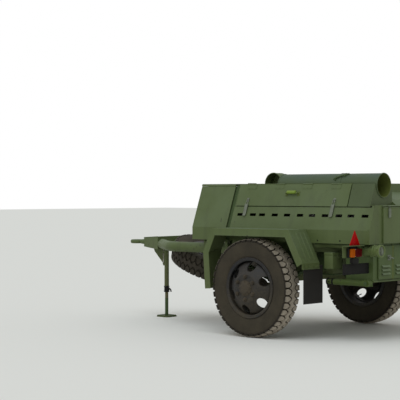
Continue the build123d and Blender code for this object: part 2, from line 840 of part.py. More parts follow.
firebox_top = rail_top - cross_height
with BuildPart() as firebox:
    with BuildSketch(Plane.XY.offset(firebox_low)):
        with Locations(((firebox_front + firebox_rear) / 2, 0)):
            Rectangle(firebox_front - firebox_rear, 2 * firebox_half)
    extrude(amount=firebox_top - firebox_low)
    with BuildSketch(Plane.XY.offset(firebox_low + plate)):
        with Locations(((firebox_front + firebox_rear) / 2, 0)):
            Rectangle(firebox_front - firebox_rear - 2 * plate, 2 * (firebox_half - plate))
    extrude(amount=firebox_top - firebox_low, mode=Mode.SUBTRACT)
save(firebox, "firebox")

# Mudguards: one folded sheet with an upright lip along the outer edge
guard_points = [(axle_x + x, z) for x, z in mudguard_line]
lip_points = guard_points[:-1]
for side, name in ((1, "mudguard_left"), (-1, "mudguard_right")):
    with BuildPart() as mudguard:
        with BuildSketch(Plane.XZ.offset(-side * mudguard_outer)):
            with BuildLine():
                Polyline(*guard_points, *inner_line(guard_points, sheet)[::-1], close=True)
            make_face()
        extrude(amount=side * (mudguard_outer - body_half))
        with BuildSketch(Plane.XZ.offset(-side * mudguard_outer)):
            with BuildLine():
                Polyline(*lip_points, *inner_line(lip_points, mudguard_lip)[::-1], close=True)
            make_face()
        extrude(amount=side * sheet)
    save(mudguard, name)

# Rubber flaps held inside the mudguards' rear ends
flap_x = axle_x + mudguard_line[-1][0] + sheet + seat_gap
with BuildPart() as mudflaps:
    with BuildSketch(Plane.YZ.offset(flap_x)):
        flap_y = (flap_inner + flap_outer) / 2
        with Locations(*[(side * flap_y, (flap_low + flap_high) / 2) for side in (1, -1)]):
            Rectangle(flap_outer - flap_inner, flap_high - flap_low)
    extrude(amount=sheet)
save(mudflaps, "mudflaps")

# Wheels: section points are (distance outboard along the axle, distance from the axle)
rim_half = rim_width / 2
tyre_half = tyre_width / 2
tread_half = tread_width / 2
bead_y = rim_half - rim_wall
belly_radius = 376
belly_slope = (tyre_half - bead_y) / (belly_radius - rim_radius)
lip_y = bead_y + belly_slope * (rim_flange_radius - rim_radius) + 2 * seat_gap
tyre_side = (
    (bead_y, rim_radius + seat_gap),
    (tyre_half, belly_radius),
    (tread_half, tyre_radius),
)
rim_side = (
    (bead_y + seat_gap, rim_radius),
    (lip_y, rim_flange_radius),
    (rim_half, rim_flange_radius),
    (rim_half, rim_radius - rim_wall),
)
disc_foot = 20
disc_edge = 64
disc_edge_radius = 242
disc_shoulder = 108
disc_shoulder_radius = 190
disc_crown = 148
disc_crown_radius = 134
disc_back = disc_crown - disc_thickness
disc_points = (
    (disc_foot, rim_radius - rim_wall),
    (disc_edge, disc_edge_radius),
    (disc_shoulder, disc_shoulder_radius),
    (disc_crown, disc_crown_radius),
    (disc_crown, hub_bore_radius),
    (disc_back, hub_bore_radius),
    (disc_back, disc_crown_radius - disc_thickness / 3),
    (disc_shoulder - disc_thickness, disc_shoulder_radius - disc_thickness / 2),
    (disc_edge - disc_thickness, disc_edge_radius - disc_thickness),
    (disc_foot - disc_thickness, rim_radius - rim_wall - disc_thickness),
    (disc_foot - disc_thickness, rim_radius - rim_wall),
)
hub_flange_radius = 112
hub_flange_thickness = 14
hub_nose_y = disc_crown + 4
hub_cap_y = disc_crown + 14
hub_cap_radius = 52
hub_end = -92
hub_bore = spindle_radius + seat_gap
hub_pocket_y = spindle_end_y - wheel_y + 5
hub_points = (
    (hub_end, hub_bore),
    (hub_end, hub_radius),
    (disc_back - hub_flange_thickness, hub_radius),
    (disc_back - hub_flange_thickness, hub_flange_radius),
    (disc_back, hub_flange_radius),
    (disc_back, hub_bore_radius - seat_gap),
    (hub_nose_y, hub_bore_radius - seat_gap),
    (hub_cap_y, hub_cap_radius),
    (hub_cap_y, 0),
    (hub_pocket_y, 0),
    (hub_pocket_y, hub_bore),
)


def mirrored(points):
    return points + tuple((-y, r) for y, r in points[::-1])


def wheel_section(points, centre, outboard, across):
    # Closed section in a plane that holds the wheel's axis
    with BuildSketch(Plane(origin=centre, x_dir=outboard, z_dir=across)) as section:
        with BuildLine():
            Polyline(*points, close=True)
        make_face()
    return section.sketch


tilt = radians(spare_tilt)
spare_down = (sin(tilt), 0, -cos(tilt))
# Each wheel: name ending, centre, outboard direction, a direction across it, turn of its hand holes
wheel_places = (
    ("left", (axle_x, wheel_y, wheel_z), (0, 1, 0), (1, 0, 0), 20),
    ("right", (axle_x, -wheel_y, wheel_z), (0, -1, 0), (1, 0, 0), 8),
    ("spare", (spare_x, 0, spare_z), spare_down, (0, 1, 0), 0),
)
for name, centre, outboard, across, hole_turn in wheel_places:
    turn = Axis(centre, outboard)
    with BuildPart() as tyre:
        revolve(wheel_section(mirrored(tyre_side), centre, outboard, across), axis=turn)
    save(tyre, f"tyre_{name}")
    with BuildPart() as wheel:
        revolve(wheel_section(mirrored(rim_side), centre, outboard, across), axis=turn)
        revolve(wheel_section(disc_points, centre, outboard, across), axis=turn)
        with BuildSketch(Plane(origin=centre, x_dir=across, z_dir=outboard)):
            with PolarLocations(hand_hole_circle, hand_hole_count, start_angle=hole_turn):
                Circle(hand_hole_radius)
        extrude(amount=disc_crown, mode=Mode.SUBTRACT)
    save(wheel, f"wheel_{name}")
    if name != "spare":
        with BuildPart() as hub:
            revolve(wheel_section(hub_points, centre, outboard, across), axis=turn)
        save(hub, f"hub_{name}")

# Carrier of the spare wheel: a cross tube between the drawbar tubes, a stem and a clamp plate
carrier_x = spare_x - (leg_z - spare_z) * tan(tilt)
carrier_radius = 26
carrier_half = rail_y - leg_radius - seat_gap
clamp_radius = 105
clamp_face = disc_crown + seat_gap
stem_end = clamp_face + 30
spare_centre = Vector(spare_x, 0, spare_z)
with BuildPart() as spare_carrier:
    with BuildSketch(Plane.XZ.offset(-carrier_half)):
        with Locations((carrier_x, leg_z)):
            Circle(carrier_radius)
    extrude(amount=2 * carrier_half)
    stem_top = Vector(carrier_x, 0, leg_z)
    stem_length = (spare_centre - stem_top).length + stem_end
    with BuildSketch(Plane(origin=stem_top, z_dir=spare_down)):
        Circle(spare_stem_radius)
    extrude(amount=stem_length)
    with BuildSketch(Plane(origin=spare_centre + Vector(*spare_down) * clamp_face, z_dir=spare_down)):
        Circle(clamp_radius)
    extrude(amount=plate)
save(spare_carrier, "spare_carrier")

# Landing jack: fixed outer tube with its screw and gusset, and the leg that slides in it
head_taper = (head_rear_height - head_front_height) / 2 / (head_front - head_rear)


def head_underside(x):
    return head_z - head_rear_height / 2 + head_taper * (x - head_rear)


jack_top = head_underside(jack_x - jack_tube_radius) - seat_gap
screw_radius = 9
screw_x = jack_x + 44
screw_low = 562
link_height = 14
link_places = (576, 700)
gusset_foot_z = 536
gusset_elbow = (jack_x + 185, 716)
gusset_head_x = jack_x + 203
with BuildPart() as jack_tube:
    with BuildSketch(Plane.XY.offset(jack_tube_low)):
        with Locations((jack_x, 0)):
            Circle(jack_tube_radius)
    extrude(amount=jack_top - jack_tube_low)
    with BuildSketch(Plane.XY.offset(screw_low)):
        with Locations((screw_x, 0)):
            Circle(screw_radius)
    extrude(amount=jack_top - screw_low - link_height)
    for link_z in link_places:
        with BuildSketch(Plane.XY.offset(link_z)):
            with Locations(((jack_x + screw_x) / 2, 0)):
                Rectangle(screw_x - jack_x + 2 * screw_radius, 2 * screw_radius)
        extrude(amount=link_height)
    with BuildSketch(Plane.XZ.offset(-plate / 2)):
        with BuildLine():
            Polyline(
                (jack_x, gusset_foot_z),
                gusset_elbow,
                (gusset_head_x, head_underside(gusset_head_x) - seat_gap),
                (jack_x, jack_top),
                close=True,
            )
        make_face()
    extrude(amount=plate)
    with BuildSketch(Plane.XY.offset(jack_tube_low)):
        with Locations((jack_x, 0)):
            Circle(jack_bore)
    extrude(amount=jack_top - jack_tube_low, mode=Mode.SUBTRACT)
save(jack_tube, "jack_tube")

jack_leg_top = jack_top - jack_travel - plate
with BuildPart() as jack_leg:
    with BuildSketch():
        with Locations((jack_x, 0)):
            RectangleRounded(jack_foot_size, jack_foot_size, jack_foot_size / 6)
    extrude(amount=jack_foot_height)
    with BuildSketch():
        with Locations((jack_x, 0)):
            Circle(jack_leg_radius)
    extrude(amount=jack_leg_top)
save(jack_leg, "jack_leg")

# Rear props with their eyes and feet, folded forward below the cabinet
for side, name in ((1, "prop_left"), (-1, "prop_right")):
    with BuildPart() as prop:
        with BuildSketch(Plane.YZ.offset(prop_hinge_x)):
            with Locations((side * prop_y, prop_hinge_z)):
                Circle(prop_radius)
        extrude(amount=prop_reach - prop_foot_length)
        with BuildSketch(Plane.YZ.offset(prop_hinge_x)):
            with Locations((side * prop_y, prop_hinge_z)):
                Circle(prop_radius - 5)
        extrude(amount=prop_reach)
        with BuildSketch(Plane.XZ.offset(-side * prop_y - prop_radius)):
            with Locations((prop_hinge_x, prop_hinge_z)):
                Circle(prop_eye_radius)
        extrude(amount=2 * prop_radius)
        with BuildSketch(Plane.XZ.offset(-side * prop_y - 2 * prop_radius)):
            with Locations((prop_hinge_x, prop_hinge_z)):
                Circle(prop_pin_radius + running_gap)
        extrude(amount=4 * prop_radius, mode=Mode.SUBTRACT)
    save(prop, name)

# Lamp brackets: round sill tubes behind the wheels, each with an upright plate and a shelf at its end
sill_radius = 22
sill_gap = 36
sill_y = cabinet_half + sill_gap + sill_radius
sill_front = axle_x - 560
lamp_outer = mudguard_outer
shelf_inner = body_half + 2 * sheet
shelf_depth = 70
with BuildPart() as lamp_brackets:
    with BuildSketch(Plane.YZ.offset(sill_front)):
        with Locations((sill_y, rail_top - sill_radius), (-sill_y, rail_top - sill_radius)):
            Circle(sill_radius)
    extrude(amount=lamp_x - sill_front)
    for side in (1, -1):
        with BuildSketch(Plane.YZ.offset(lamp_x)):
            with Locations((side * (cabinet_half + lamp_outer) / 2, (lamp_low + lamp_arm_top) / 2)):
                Rectangle(lamp_outer - cabinet_half, lamp_arm_top - lamp_low)
        extrude(amount=sheet)
        with BuildSketch(Plane.XY.offset(lamp_arm_top - sheet)):
            with Locations((lamp_x + sheet - shelf_depth / 2, side * (shelf_inner + lamp_outer) / 2)):
                Rectangle(shelf_depth, lamp_outer - shelf_inner)
        extrude(amount=sheet)
save(lamp_brackets, "lamp_brackets")

# Rear lights: a lamp under each shelf and a triangular reflector that stands on it
lamp_corner = 12
triangle_height = triangle_side * sqrt(3) / 2
triangle_x = lamp_x - lamp_depth / 2
with BuildPart() as rear_lights:
    for side in (1, -1):
        with BuildSketch(Plane.YZ.offset(lamp_x - lamp_depth)):
            with Locations((side * lamp_y, lamp_low + lamp_height / 2)):
                RectangleRounded(lamp_width, lamp_height, lamp_corner)
        extrude(amount=lamp_depth)
        with BuildSketch(Plane.YZ.offset(triangle_x - plate)):
            with BuildLine():
                Polyline(
                    (side * lamp_y - triangle_side / 2, lamp_arm_top),
                    (side * lamp_y + triangle_side / 2, lamp_arm_top),
                    (side * lamp_y, lamp_arm_top + triangle_height),
                    close=True,
                )
            make_face()
        extrude(amount=plate)
save(rear_lights, "rear_lights")

# Blank plate on a stem below the left lamp
stem_width = 24
with BuildPart() as blank_plate:
    with BuildSketch(Plane.YZ.offset(lamp_x - sheet)):
        with Locations((lamp_outer - blank_plate_width / 2, blank_plate_low + blank_plate_height / 2)):
            Rectangle(blank_plate_width, blank_plate_height)
        with Locations((lamp_y, (lamp_low + blank_plate_low + blank_plate_height) / 2)):
            Rectangle(stem_width, lamp_low - blank_plate_low - blank_plate_height)
    extrude(amount=sheet)
save(blank_plate, "blank_plate")

# Capped pipe with two collars, out of the left bracket's plate
pipe_rear = axle_x - tail_reach
# Each ring: its rear face, its length, how far it stands out
pipe_rings = (
    (pipe_rear, pipe_cap_length, pipe_cap),
    (cabinet_rear - 40, 2 * plate, pipe_collar),
    (cabinet_rear - 72, 2 * plate, pipe_collar),
)
with BuildPart() as rear_pipe:
    with BuildSketch(Plane.YZ.offset(pipe_rear)):
        with Locations((pipe_y, pipe_z)):
            Circle(pipe_radius)
    extrude(amount=lamp_x - pipe_rear)
    for ring_rear, ring_length, ring_height in pipe_rings:
        with BuildSketch(Plane.YZ.offset(ring_rear)):
            with Locations((pipe_y, pipe_z)):
                Circle(pipe_radius + ring_height)
        extrude(amount=ring_length)
save(rear_pipe, "rear_pipe")

# Box on the left rail behind the wheel
box_rear = axle_x - 802
box_front = axle_x - 700
box_low = 667
box_top = 818
box_outer = 750
with BuildPart() as rail_box:
    with BuildSketch(Plane.XY.offset(box_low)):
        with Locations(((box_rear + box_front) / 2, (rail_y + rail_width / 2 + box_outer) / 2)):
            Rectangle(box_front - box_rear, box_outer - rail_y - rail_width / 2)
    extrude(amount=box_top - box_low)
save(rail_box, "rail_box")
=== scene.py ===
import math

import bpy
from mathutils import Matrix, Vector


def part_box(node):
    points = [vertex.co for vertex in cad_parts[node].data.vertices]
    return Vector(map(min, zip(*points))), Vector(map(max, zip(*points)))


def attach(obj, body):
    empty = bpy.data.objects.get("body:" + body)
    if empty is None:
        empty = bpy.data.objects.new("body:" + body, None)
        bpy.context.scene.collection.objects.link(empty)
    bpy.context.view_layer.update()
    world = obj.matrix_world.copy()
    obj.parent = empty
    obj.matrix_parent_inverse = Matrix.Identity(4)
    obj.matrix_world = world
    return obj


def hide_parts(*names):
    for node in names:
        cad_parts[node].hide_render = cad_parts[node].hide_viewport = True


# Field kitchen trailer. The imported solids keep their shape, and finer pieces are added on them.
# Metres, X forward, Y to the left, Z up, the floor at Z = 0.

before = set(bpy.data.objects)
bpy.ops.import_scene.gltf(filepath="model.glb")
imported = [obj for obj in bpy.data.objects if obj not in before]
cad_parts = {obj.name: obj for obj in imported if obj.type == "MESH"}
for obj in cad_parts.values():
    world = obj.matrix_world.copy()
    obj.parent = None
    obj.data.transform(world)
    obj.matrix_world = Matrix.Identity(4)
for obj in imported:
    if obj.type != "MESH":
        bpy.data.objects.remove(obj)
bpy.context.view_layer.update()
print("frame loaded")

# Camera; the light and the floor come last

viewSettings = {
    "place": (-8.617, 10.223, 1.353),
    "along": (0.6815, -0.7318, -0.0048),
    "lens": 116.81,
    "sensor": 36,  # mm, for a square picture
    "clipEnd": 500,
    "skyStrength": 0.60,
    "skyColor": (1.0, 1.0, 0.95),
    "sunPower": 1.0,
    "sunColor": (0.90, 0.97, 1.0),
    "sunAngle": 0.9,
    "sunFrom": (-0.22, 0.50, 0.80),
    "floorColor": (0.80, 0.80, 0.79),
    "floorSize": 160,
}


def makeCamera():
    cameraData = bpy.data.cameras.new("photoCamera")
    cameraData.lens = viewSettings["lens"]
    cameraData.sensor_width = viewSettings["sensor"]
    cameraData.clip_end = viewSettings["clipEnd"]
    camera = bpy.data.objects.new("photoCamera", cameraData)
    bpy.context.scene.collection.objects.link(camera)
    camera.location = viewSettings["place"]
    camera.rotation_euler = Vector(viewSettings["along"]).to_track_quat("-Z", "Y").to_euler()
    bpy.context.scene.camera = camera


makeCamera()
bpy.context.scene.view_settings.view_transform = "Standard"

# Materials


class Signal:
    # One output of a shader node; arithmetic on it adds Math nodes
    def __init__(self, maker, socket):
        self.maker = maker
        self.socket = socket

    def join(self, operation, first, second):
        settings = {"operation": operation, "use_clamp": False}
        return self.maker.add("ShaderNodeMath", settings, {0: first, 1: second})[0]

    def __add__(self, other):
        return self.join("ADD", self, other)

    def __sub__(self, other):
        return self.join("SUBTRACT", self, other)

    def __rsub__(self, other):
        return self.join("SUBTRACT", other, self)

    def __mul__(self, other):
        return self.join("MULTIPLY", self, other)


class Finish:
    # One material, whose nodes are added by a single method
    def __init__(self, name):
        self.material = bpy.data.materials.new(name)
        self.material.use_nodes = True
        self.tree = self.material.node_tree
        self.tree.nodes.clear()
        self.shader = self.tree.nodes.new("ShaderNodeBsdfPrincipled")
        output = self.tree.nodes.new("ShaderNodeOutputMaterial")
        self.tree.links.new(self.shader.outputs[0], output.inputs[0])
        place = self.add("ShaderNodeTexCoord", {}, {})
        self.point = place[3]
        self.z = self.add("ShaderNodeSeparateXYZ", {}, {0: self.point})[2]
        self.up = self.add("ShaderNodeSeparateXYZ", {}, {0: place[1]})[2]

    def feed(self, socket, value):
        if isinstance(value, Signal):
            self.tree.links.new(value.socket, socket)
        elif isinstance(value, (tuple, list)) and len(value) == 3 and socket.type == "RGBA":
            socket.default_value = (*value, 1)
        else:
            socket.default_value = value

    def add(self, kind, settings, sockets):
        node = self.tree.nodes.new(kind)
        for setting, value in settings.items():
            setattr(node, setting, value)
        for socket, value in sockets.items():
            self.feed(node.inputs[socket], value)
        return [Signal(self, output) for output in node.outputs]

    def noise(self, scale, detail=4, rough=0.55, stretch=(1, 1, 1)):
        # Evenly spread noise, from 0 to 1
        spot = self.add("ShaderNodeMapping", {}, {"Vector": self.point, "Scale": stretch})[0]
        sockets = {"Vector": spot, "Scale": scale, "Detail": detail, "Roughness": rough}
        return self.add("ShaderNodeTexNoise", {}, sockets)[0]

    def ramp(self, value, low, high):
        # 0 at low, 1 at high, in a straight line between them; low may be the larger
        sockets = {"Value": value, "From Min": low, "From Max": high}
        return self.add("ShaderNodeMapRange", {"clamp": True}, sockets)[0]

    def blend(self, share, first, second):
        mixed = self.add("ShaderNodeMix", {"data_type": "RGBA"}, {0: share, 6: first, 7: second})
        return mixed[2]

    def distance(self, middle, across):
        # How far the point lies from the middle, along the axes whose share in across is 1
        shift = tuple(-place * share for place, share in zip(middle, across))
        sockets = {"Vector": self.point, "Location": shift, "Scale": across}
        spot = self.add("ShaderNodeMapping", {}, sockets)[0]
        return self.add("ShaderNodeVectorMath", {"operation": "LENGTH"}, {0: spot})[1]

    def bump(self, height, strength, distance):
        sockets = {"Strength": strength, "Distance": distance, "Height": height}
        return self.add("ShaderNodeBump", {}, sockets)[0]

    def set(self, **sockets):
        names = {
            "color": "Base Color", "rough": "Roughness", "metal": "Metallic", "normal": "Normal",
            "coat": "Coat Weight", "specular": "Specular IOR Level",
        }
        for key, value in sockets.items():
            self.feed(self.shader.inputs[names[key]], value)
        return self.material


def shade(*screen):
    # A screen colour, 0 to 255, as the renderer's linear one
    shares = [value / 255 for value in screen]
    return tuple(share / 12.92 if share <= 0.04 else ((share + 0.055) / 1.055) ** 2.4 for share in shares)


paintSettings = {
    # overTint goes on upward faces; in the greens it is dust and a painted bluish sky reflection, on the
    # wheel and hub only dust
    "body": {"base": (76, 89, 49), "faded": (87, 100, 62), "overTint": (98, 112, 96)},
    # chimney: its overTint is a painted bluish sky reflection on the tube's top
    "chimney": {"base": (67, 80, 48), "faded": (77, 90, 62), "overTint": (60, 80, 86)},
    # bed: a darker copy of the body green, painted shade on the bed under the chimney
    "bed": {"base": (64, 76, 43), "faded": (74, 86, 54), "overTint": (84, 98, 84)},
    # cabinet: a darker copy of the body green, painted shade on the lower cabinet and its louvre doors
    "cabinet": {"base": (66, 84, 41), "faded": (75, 94, 52), "overTint": (88, 104, 84)},
    # pipe: a lighter copy of the body green, painted light on the rear pipe
    "pipe": {"base": (88, 102, 56), "faded": (99, 114, 69), "overTint": (106, 120, 98)},
    # hood: a lighter, bluish green, painted sky reflection on the tops of the louvre hoods
    "hood": {"base": (92, 108, 76), "faded": (104, 120, 90), "overTint": (116, 130, 108)},
    "olive": {"base": (76, 88, 34), "faded": (84, 96, 42), "overTint": (98, 108, 66)},
    # prop: a darker green, partly dirt and partly painted shade on the rear props
    "prop": {"base": (60, 79, 27), "faded": (68, 87, 36), "overTint": (80, 96, 62)},
    "wheel": {"base": (15, 18, 24), "faded": (27, 27, 29), "overTint": (58, 52, 45)},
    "grip": {"base": (116, 142, 46), "faded": (122, 146, 58), "overTint": (104, 110, 70)},
    # shadedGreen: a darker copy of the green paint, painted shade in the sunk strip, on the chimney's toggle
    # and on parts under the body
    "shadedGreen": {"base": (57, 74, 41), "faded": (66, 82, 49), "overTint": (78, 90, 60)},
    "hub": {"base": (26, 25, 26), "faded": (64, 56, 46), "overTint": (90, 78, 62)},
    "mud": (96, 86, 66),
    "primer": (52, 50, 40),
    "cloudScale": 2.4,
    "streakScale": 11,
    "grainScale": 60,
    "splashTop": 0.85,
    "splashFoot": 0.30,
    "sheen": 0.28,
}
# Painted light inside the chimney, a lighter tint on its inside wall: a point on its axis, the radius where
# the inside begins, its tint
tubeInsideLight = {"axis": (0, 0.4815, 1.430), "radius": 0.1085, "tint": (84, 93, 40)}
# Painted shade in the tread's grooves: distances from the axle where it begins and where it is darkest
grooveShade = {"top": 0.4620, "foot": 0.4510, "tint": (40, 36, 30)}


def paintFinish(name, kind, chips=0.5, gloss=0.5, mud=1.0, insideLight=None):
    # Sprayed paint: cloudy fading, rain streaks, dust with a painted bluish sky reflection on what faces up,
    # dried mud low down, small chips
    colors = paintSettings[kind]
    primer = shade(*paintSettings["primer"])
    paint = Finish(name)
    clouds = paint.noise(paintSettings["cloudScale"])
    streaks = paint.noise(paintSettings["streakScale"], stretch=(1, 1, 0.1))
    grain = paint.noise(paintSettings["grainScale"])
    color = paint.blend(paint.ramp(clouds, 0.35, 0.75), shade(*colors["base"]), shade(*colors["faded"]))
    color = paint.blend(paint.ramp(streaks, 0.52, 0.75) * 0.22, color, primer)
    # Upward faces take the over tint: real dust, and a painted bluish sky reflection
    dustAndSkySheen = paint.ramp(paint.up, 0.05, 0.9) * paint.ramp(clouds + grain * 0.3, 0.4, 0.9)
    color = paint.blend(dustAndSkySheen * 0.55, color, shade(*colors["overTint"]))
    lowDown = paint.ramp(paint.z, paintSettings["splashTop"], paintSettings["splashFoot"])
    splash = lowDown * paint.ramp(clouds * 0.6 + grain * 0.5, 0.42, 0.72) * mud
    color = paint.blend(splash * 0.6, color, shade(*paintSettings["mud"]))
    # Painted light: a lighter tint on the chimney's inside wall
    if insideLight:
        away = paint.distance(insideLight["axis"], (0, 1, 1))
        inside = paint.ramp(away, insideLight["radius"] + 0.0005, insideLight["radius"] - 0.0005)
        color = paint.blend(inside, color, shade(*insideLight["tint"]))
    flakes = paint.noise(34, detail=2) + paint.noise(7, detail=1) * 0.5
    chipped = paint.ramp(flakes, 1.03 - chips * 0.05, 1.06 - chips * 0.05)
    color = paint.blend(chipped * 0.8, color, primer)
    rough = paint.ramp(clouds, 0.2, 0.9) * 0.16 + gloss + splash * 0.3 + dustAndSkySheen * 0.15
    height = paint.noise(3.1, detail=1) * 0.9 + grain * 0.06 - chipped * 0.03
    normal = paint.bump(height, 0.35, 0.004)
    return paint.set(color=color, rough=rough, normal=normal, specular=paintSettings["sheen"])


def rubberFinish(name, color, overTint, dustShare=0.6, scale=5, groove=None):
    # Old rubber with dust rubbed into it; groove gives a tread painted shade that darkens down between its
    # blocks
    rubber = Finish(name)
    clouds = rubber.noise(scale)
    grain = rubber.noise(90)
    share = rubber.ramp(clouds + grain * 0.4, 0.45, 0.95)
    tint = rubber.blend(share * dustShare, shade(*color), shade(*overTint))
    if groove:
        low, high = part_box("tyre_left")
        away = rubber.distance((low + high) / 2, (1, 0, 1))
        grooveShadow = rubber.ramp(away + grain * 0.003, groove["top"], groove["foot"])
        tint = rubber.blend(grooveShadow, tint, shade(*groove["tint"]))
    normal = rubber.bump(grain, 0.5, 0.0015)
    return rubber.set(color=tint, rough=share * 0.1 + 0.78, normal=normal, specular=0.2)


def metalFinish(name, color, stain, rough=0.38, metal=0.9):
    # Bare or plated metal with stains
    steel = Finish(name)
    clouds = steel.noise(14)
    grain = steel.noise(120, detail=2)
    share = steel.ramp(clouds, 0.45, 0.72)
    tint = steel.blend(share, shade(*color), shade(*stain))
    normal = steel.bump(grain, 0.3, 0.0006)
    return steel.set(color=tint, rough=share * 0.25 + rough, metal=metal - share * 0.5, normal=normal)


def lensFinish(name, color, glow):
    # Ribbed lens of a lamp or reflector
    lens = Finish(name)
    ribs = lens.add("ShaderNodeTexChecker", {}, {"Vector": lens.point, "Scale": 260})[1]
    clouds = lens.noise(20)
    tint = lens.blend(lens.ramp(clouds, 0.3, 0.8) * 0.35, shade(*color), shade(*glow))
    normal = lens.bump(ribs, 0.25, 0.0006)
    return lens.set(color=tint, rough=clouds * 0.1 + 0.3, normal=normal, coat=0.0, specular=0.08)


finishes = {
    "body": paintFinish("greenPaint", "body", mud=0.7),
    "frame": paintFinish("framePaint", "body", chips=1.2, gloss=0.55, mud=1.5),
    "hub": paintFinish("dustyHubPaint", "hub", chips=0.6, gloss=0.55, mud=0.8),
    "shadedGreen": paintFinish("shadedGreenPaint", "shadedGreen", chips=0.3, gloss=0.7, mud=0),
    "chimney": paintFinish("chimneyPaint", "chimney", mud=0, insideLight=tubeInsideLight),
    "bed": paintFinish("chimneyBedShadedPaint", "bed", mud=0),
    "cabinet": paintFinish("cabinetShadedPaint", "cabinet", mud=0.7),
    "pipe": paintFinish("pipeLitPaint", "pipe", mud=0.5),
    "olive": paintFinish("olivePaint", "olive", mud=0.7),
    "hood": paintFinish("louvreSkyLitPaint", "hood", mud=0.4),
    "prop": paintFinish("propDirtAndShadePaint", "prop", chips=0.8, mud=0.8),
    "wheel": paintFinish("wheelPaint", "wheel", chips=0.8, gloss=0.4, mud=0.8),
    "sidewall": rubberFinish("tyreRubber", (46, 42, 34), (78, 71, 58)),
    # The tread's light colour is dust, and painted light on the blocks' tops
    "tread": rubberFinish("dustyLitTreadRubber", (146, 136, 122), (180, 170, 154), 0.8, 12, grooveShade),
    # A darker copy of the tread: painted shade on the spare, which lies under the body
    "shadedSpareTread": rubberFinish("shadedSpareRubber", (48, 44, 37), (78, 72, 62), 0.7, 12),
    "flap": rubberFinish("flapRubber", (30, 29, 28), (52, 48, 42), 0.4),
    "steel": metalFinish("bareSteel", (168, 165, 156), (104, 98, 84)),
    "latch": metalFinish("greyLatch", (104, 110, 96), (72, 78, 60), rough=0.5, metal=0.35),
    "cauldron": metalFinish("cauldronSteel", (150, 150, 147), (90, 88, 82)),
    "grip": paintFinish("brightGreenPaint", "grip", chips=0.2, mud=0),
    "black": rubberFinish("blackPlate", (18, 18, 17), (44, 42, 38), 0.35, 8),
    "red": lensFinish("redLens", (70, 2, 4), (104, 6, 8)),
    "reflector": lensFinish("redReflector", (156, 1, 3), (172, 4, 6)),
    "amber": lensFinish("amberLens", (166, 78, 0), (186, 98, 3)),
}
print("materials made")

nodeFinishes = {
    "frame": (
        "chassis_frame", "drawbar_legs", "drawbar_head", "axle_beam", "leaf_springs", "firebox",
        "spare_carrier", "lamp_brackets", "rail_box", "flue_elbow", "jack_tube", "jack_leg",
    ),
    # The partition's sunk strip is painted with shade
    "shadedGreen": ("partition",),
    "chimney": ("chimney",),
    "bed": ("chimney_bed",),
    "cabinet": ("lower_cabinet", "louvre_door_left", "louvre_door_middle", "louvre_door_right"),
    "pipe": ("rear_pipe",),
    "prop": ("prop_left", "prop_right"),
    "wheel": ("wheel_left", "wheel_right", "wheel_spare"),
    "hub": ("hub_left", "hub_right"),
    "sidewall": ("tyre_left", "tyre_right", "tyre_spare"),
    "flap": ("mudflaps",),
    "steel": ("tow_eye",),
    "latch": ("lid_fittings_left", "lid_fittings_right"),
    "cauldron": ("cauldrons",),
    "red": ("rear_lights",),
    "black": ("blank_plate",),
}
finishOfNode = {node: finish for finish, nodes in nodeFinishes.items() for node in nodes}
for name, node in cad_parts.items():
    node.data.materials.clear()
    node.data.materials.append(finishes[finishOfNode.get(name, "body")])

# Tools that shape a piece


def pickOnly(*pieces):
    bpy.ops.object.select_all(action="DESELECT")
    for piece in pieces:
        piece.select_set(True)
    bpy.context.view_layer.objects.active = pieces[0]


def startEdit(piece, kind="FACE"):
    pickOnly(piece)
    bpy.ops.object.mode_set(mode="EDIT")
    bpy.ops.mesh.select_mode(type=kind)
    bpy.ops.mesh.select_all(action="SELECT")


def endEdit():
    bpy.ops.object.mode_set(mode="OBJECT")


def tidyFaces(piece):
    startEdit(piece)
    bpy.ops.mesh.remove_doubles(threshold=0.00002)
    bpy.ops.mesh.dissolve_degenerate(threshold=0.00002)
    bpy.ops.mesh.select_all(action="SELECT")
    bpy.ops.mesh.normals_make_consistent(inside=False)
    endEdit()
    return piece


def settle(piece):
    # Writes the object's place into its mesh
    pickOnly(piece)
    bpy.ops.object.transform_apply(location=True, rotation=True, scale=True)
    return piece


def newest(name):
    piece = bpy.context.object
    piece.name = piece.data.name = name
    return piece


def outline(name, points, push):
    # A flat face through the points, pushed out to a closed solid
    bpy.ops.object.select_all(action="DESELECT")
    bpy.ops.mesh.primitive_circle_add(vertices=len(points), fill_type="NGON")
    piece = newest(name)
    for vertex, point in zip(piece.data.vertices, points):
        vertex.co = point
    startEdit(piece)
    bpy.ops.mesh.extrude_region_move(TRANSFORM_OT_translate={"value": push})
    endEdit()
    return tidyFaces(piece)


def turned(name, profile, centre, axis, across, steps=48):
    # A closed profile of (along the axis, distance from it) pairs, spun round the axis
    centre, axis, across = Vector(centre), Vector(axis), Vector(across)
    bpy.ops.object.select_all(action="DESELECT")
    bpy.ops.mesh.primitive_circle_add(vertices=len(profile), fill_type="NOTHING")
    piece = newest(name)
    for vertex, (along, reach) in zip(piece.data.vertices, profile):
        vertex.co = centre + axis * along + across * reach
    startEdit(piece, "VERT")
    bpy.ops.mesh.spin(steps=steps, angle=2 * math.pi, center=centre, axis=axis)
    endEdit()
    return tidyFaces(piece)


def block(name, low, high):
    low, high = Vector(low), Vector(high)
    bpy.ops.object.select_all(action="DESELECT")
    bpy.ops.mesh.primitive_cube_add(size=1, location=(low + high) / 2, scale=high - low)
    return settle(newest(name))


def rod(name, start, end, radius, sides=12):
    start, end = Vector(start), Vector(end)
    bpy.ops.object.select_all(action="DESELECT")
    turn = (end - start).to_track_quat("Z", "Y").to_euler()
    length = (end - start).length
    bpy.ops.mesh.primitive_cylinder_add(
        vertices=sides, radius=radius, depth=length, location=(start + end) / 2, rotation=turn
    )
    return settle(newest(name))


def softBlock(name, low, high, width, segments=1):
    # A block with rounded edges
    return eased(block(name, low, high), width, segments)


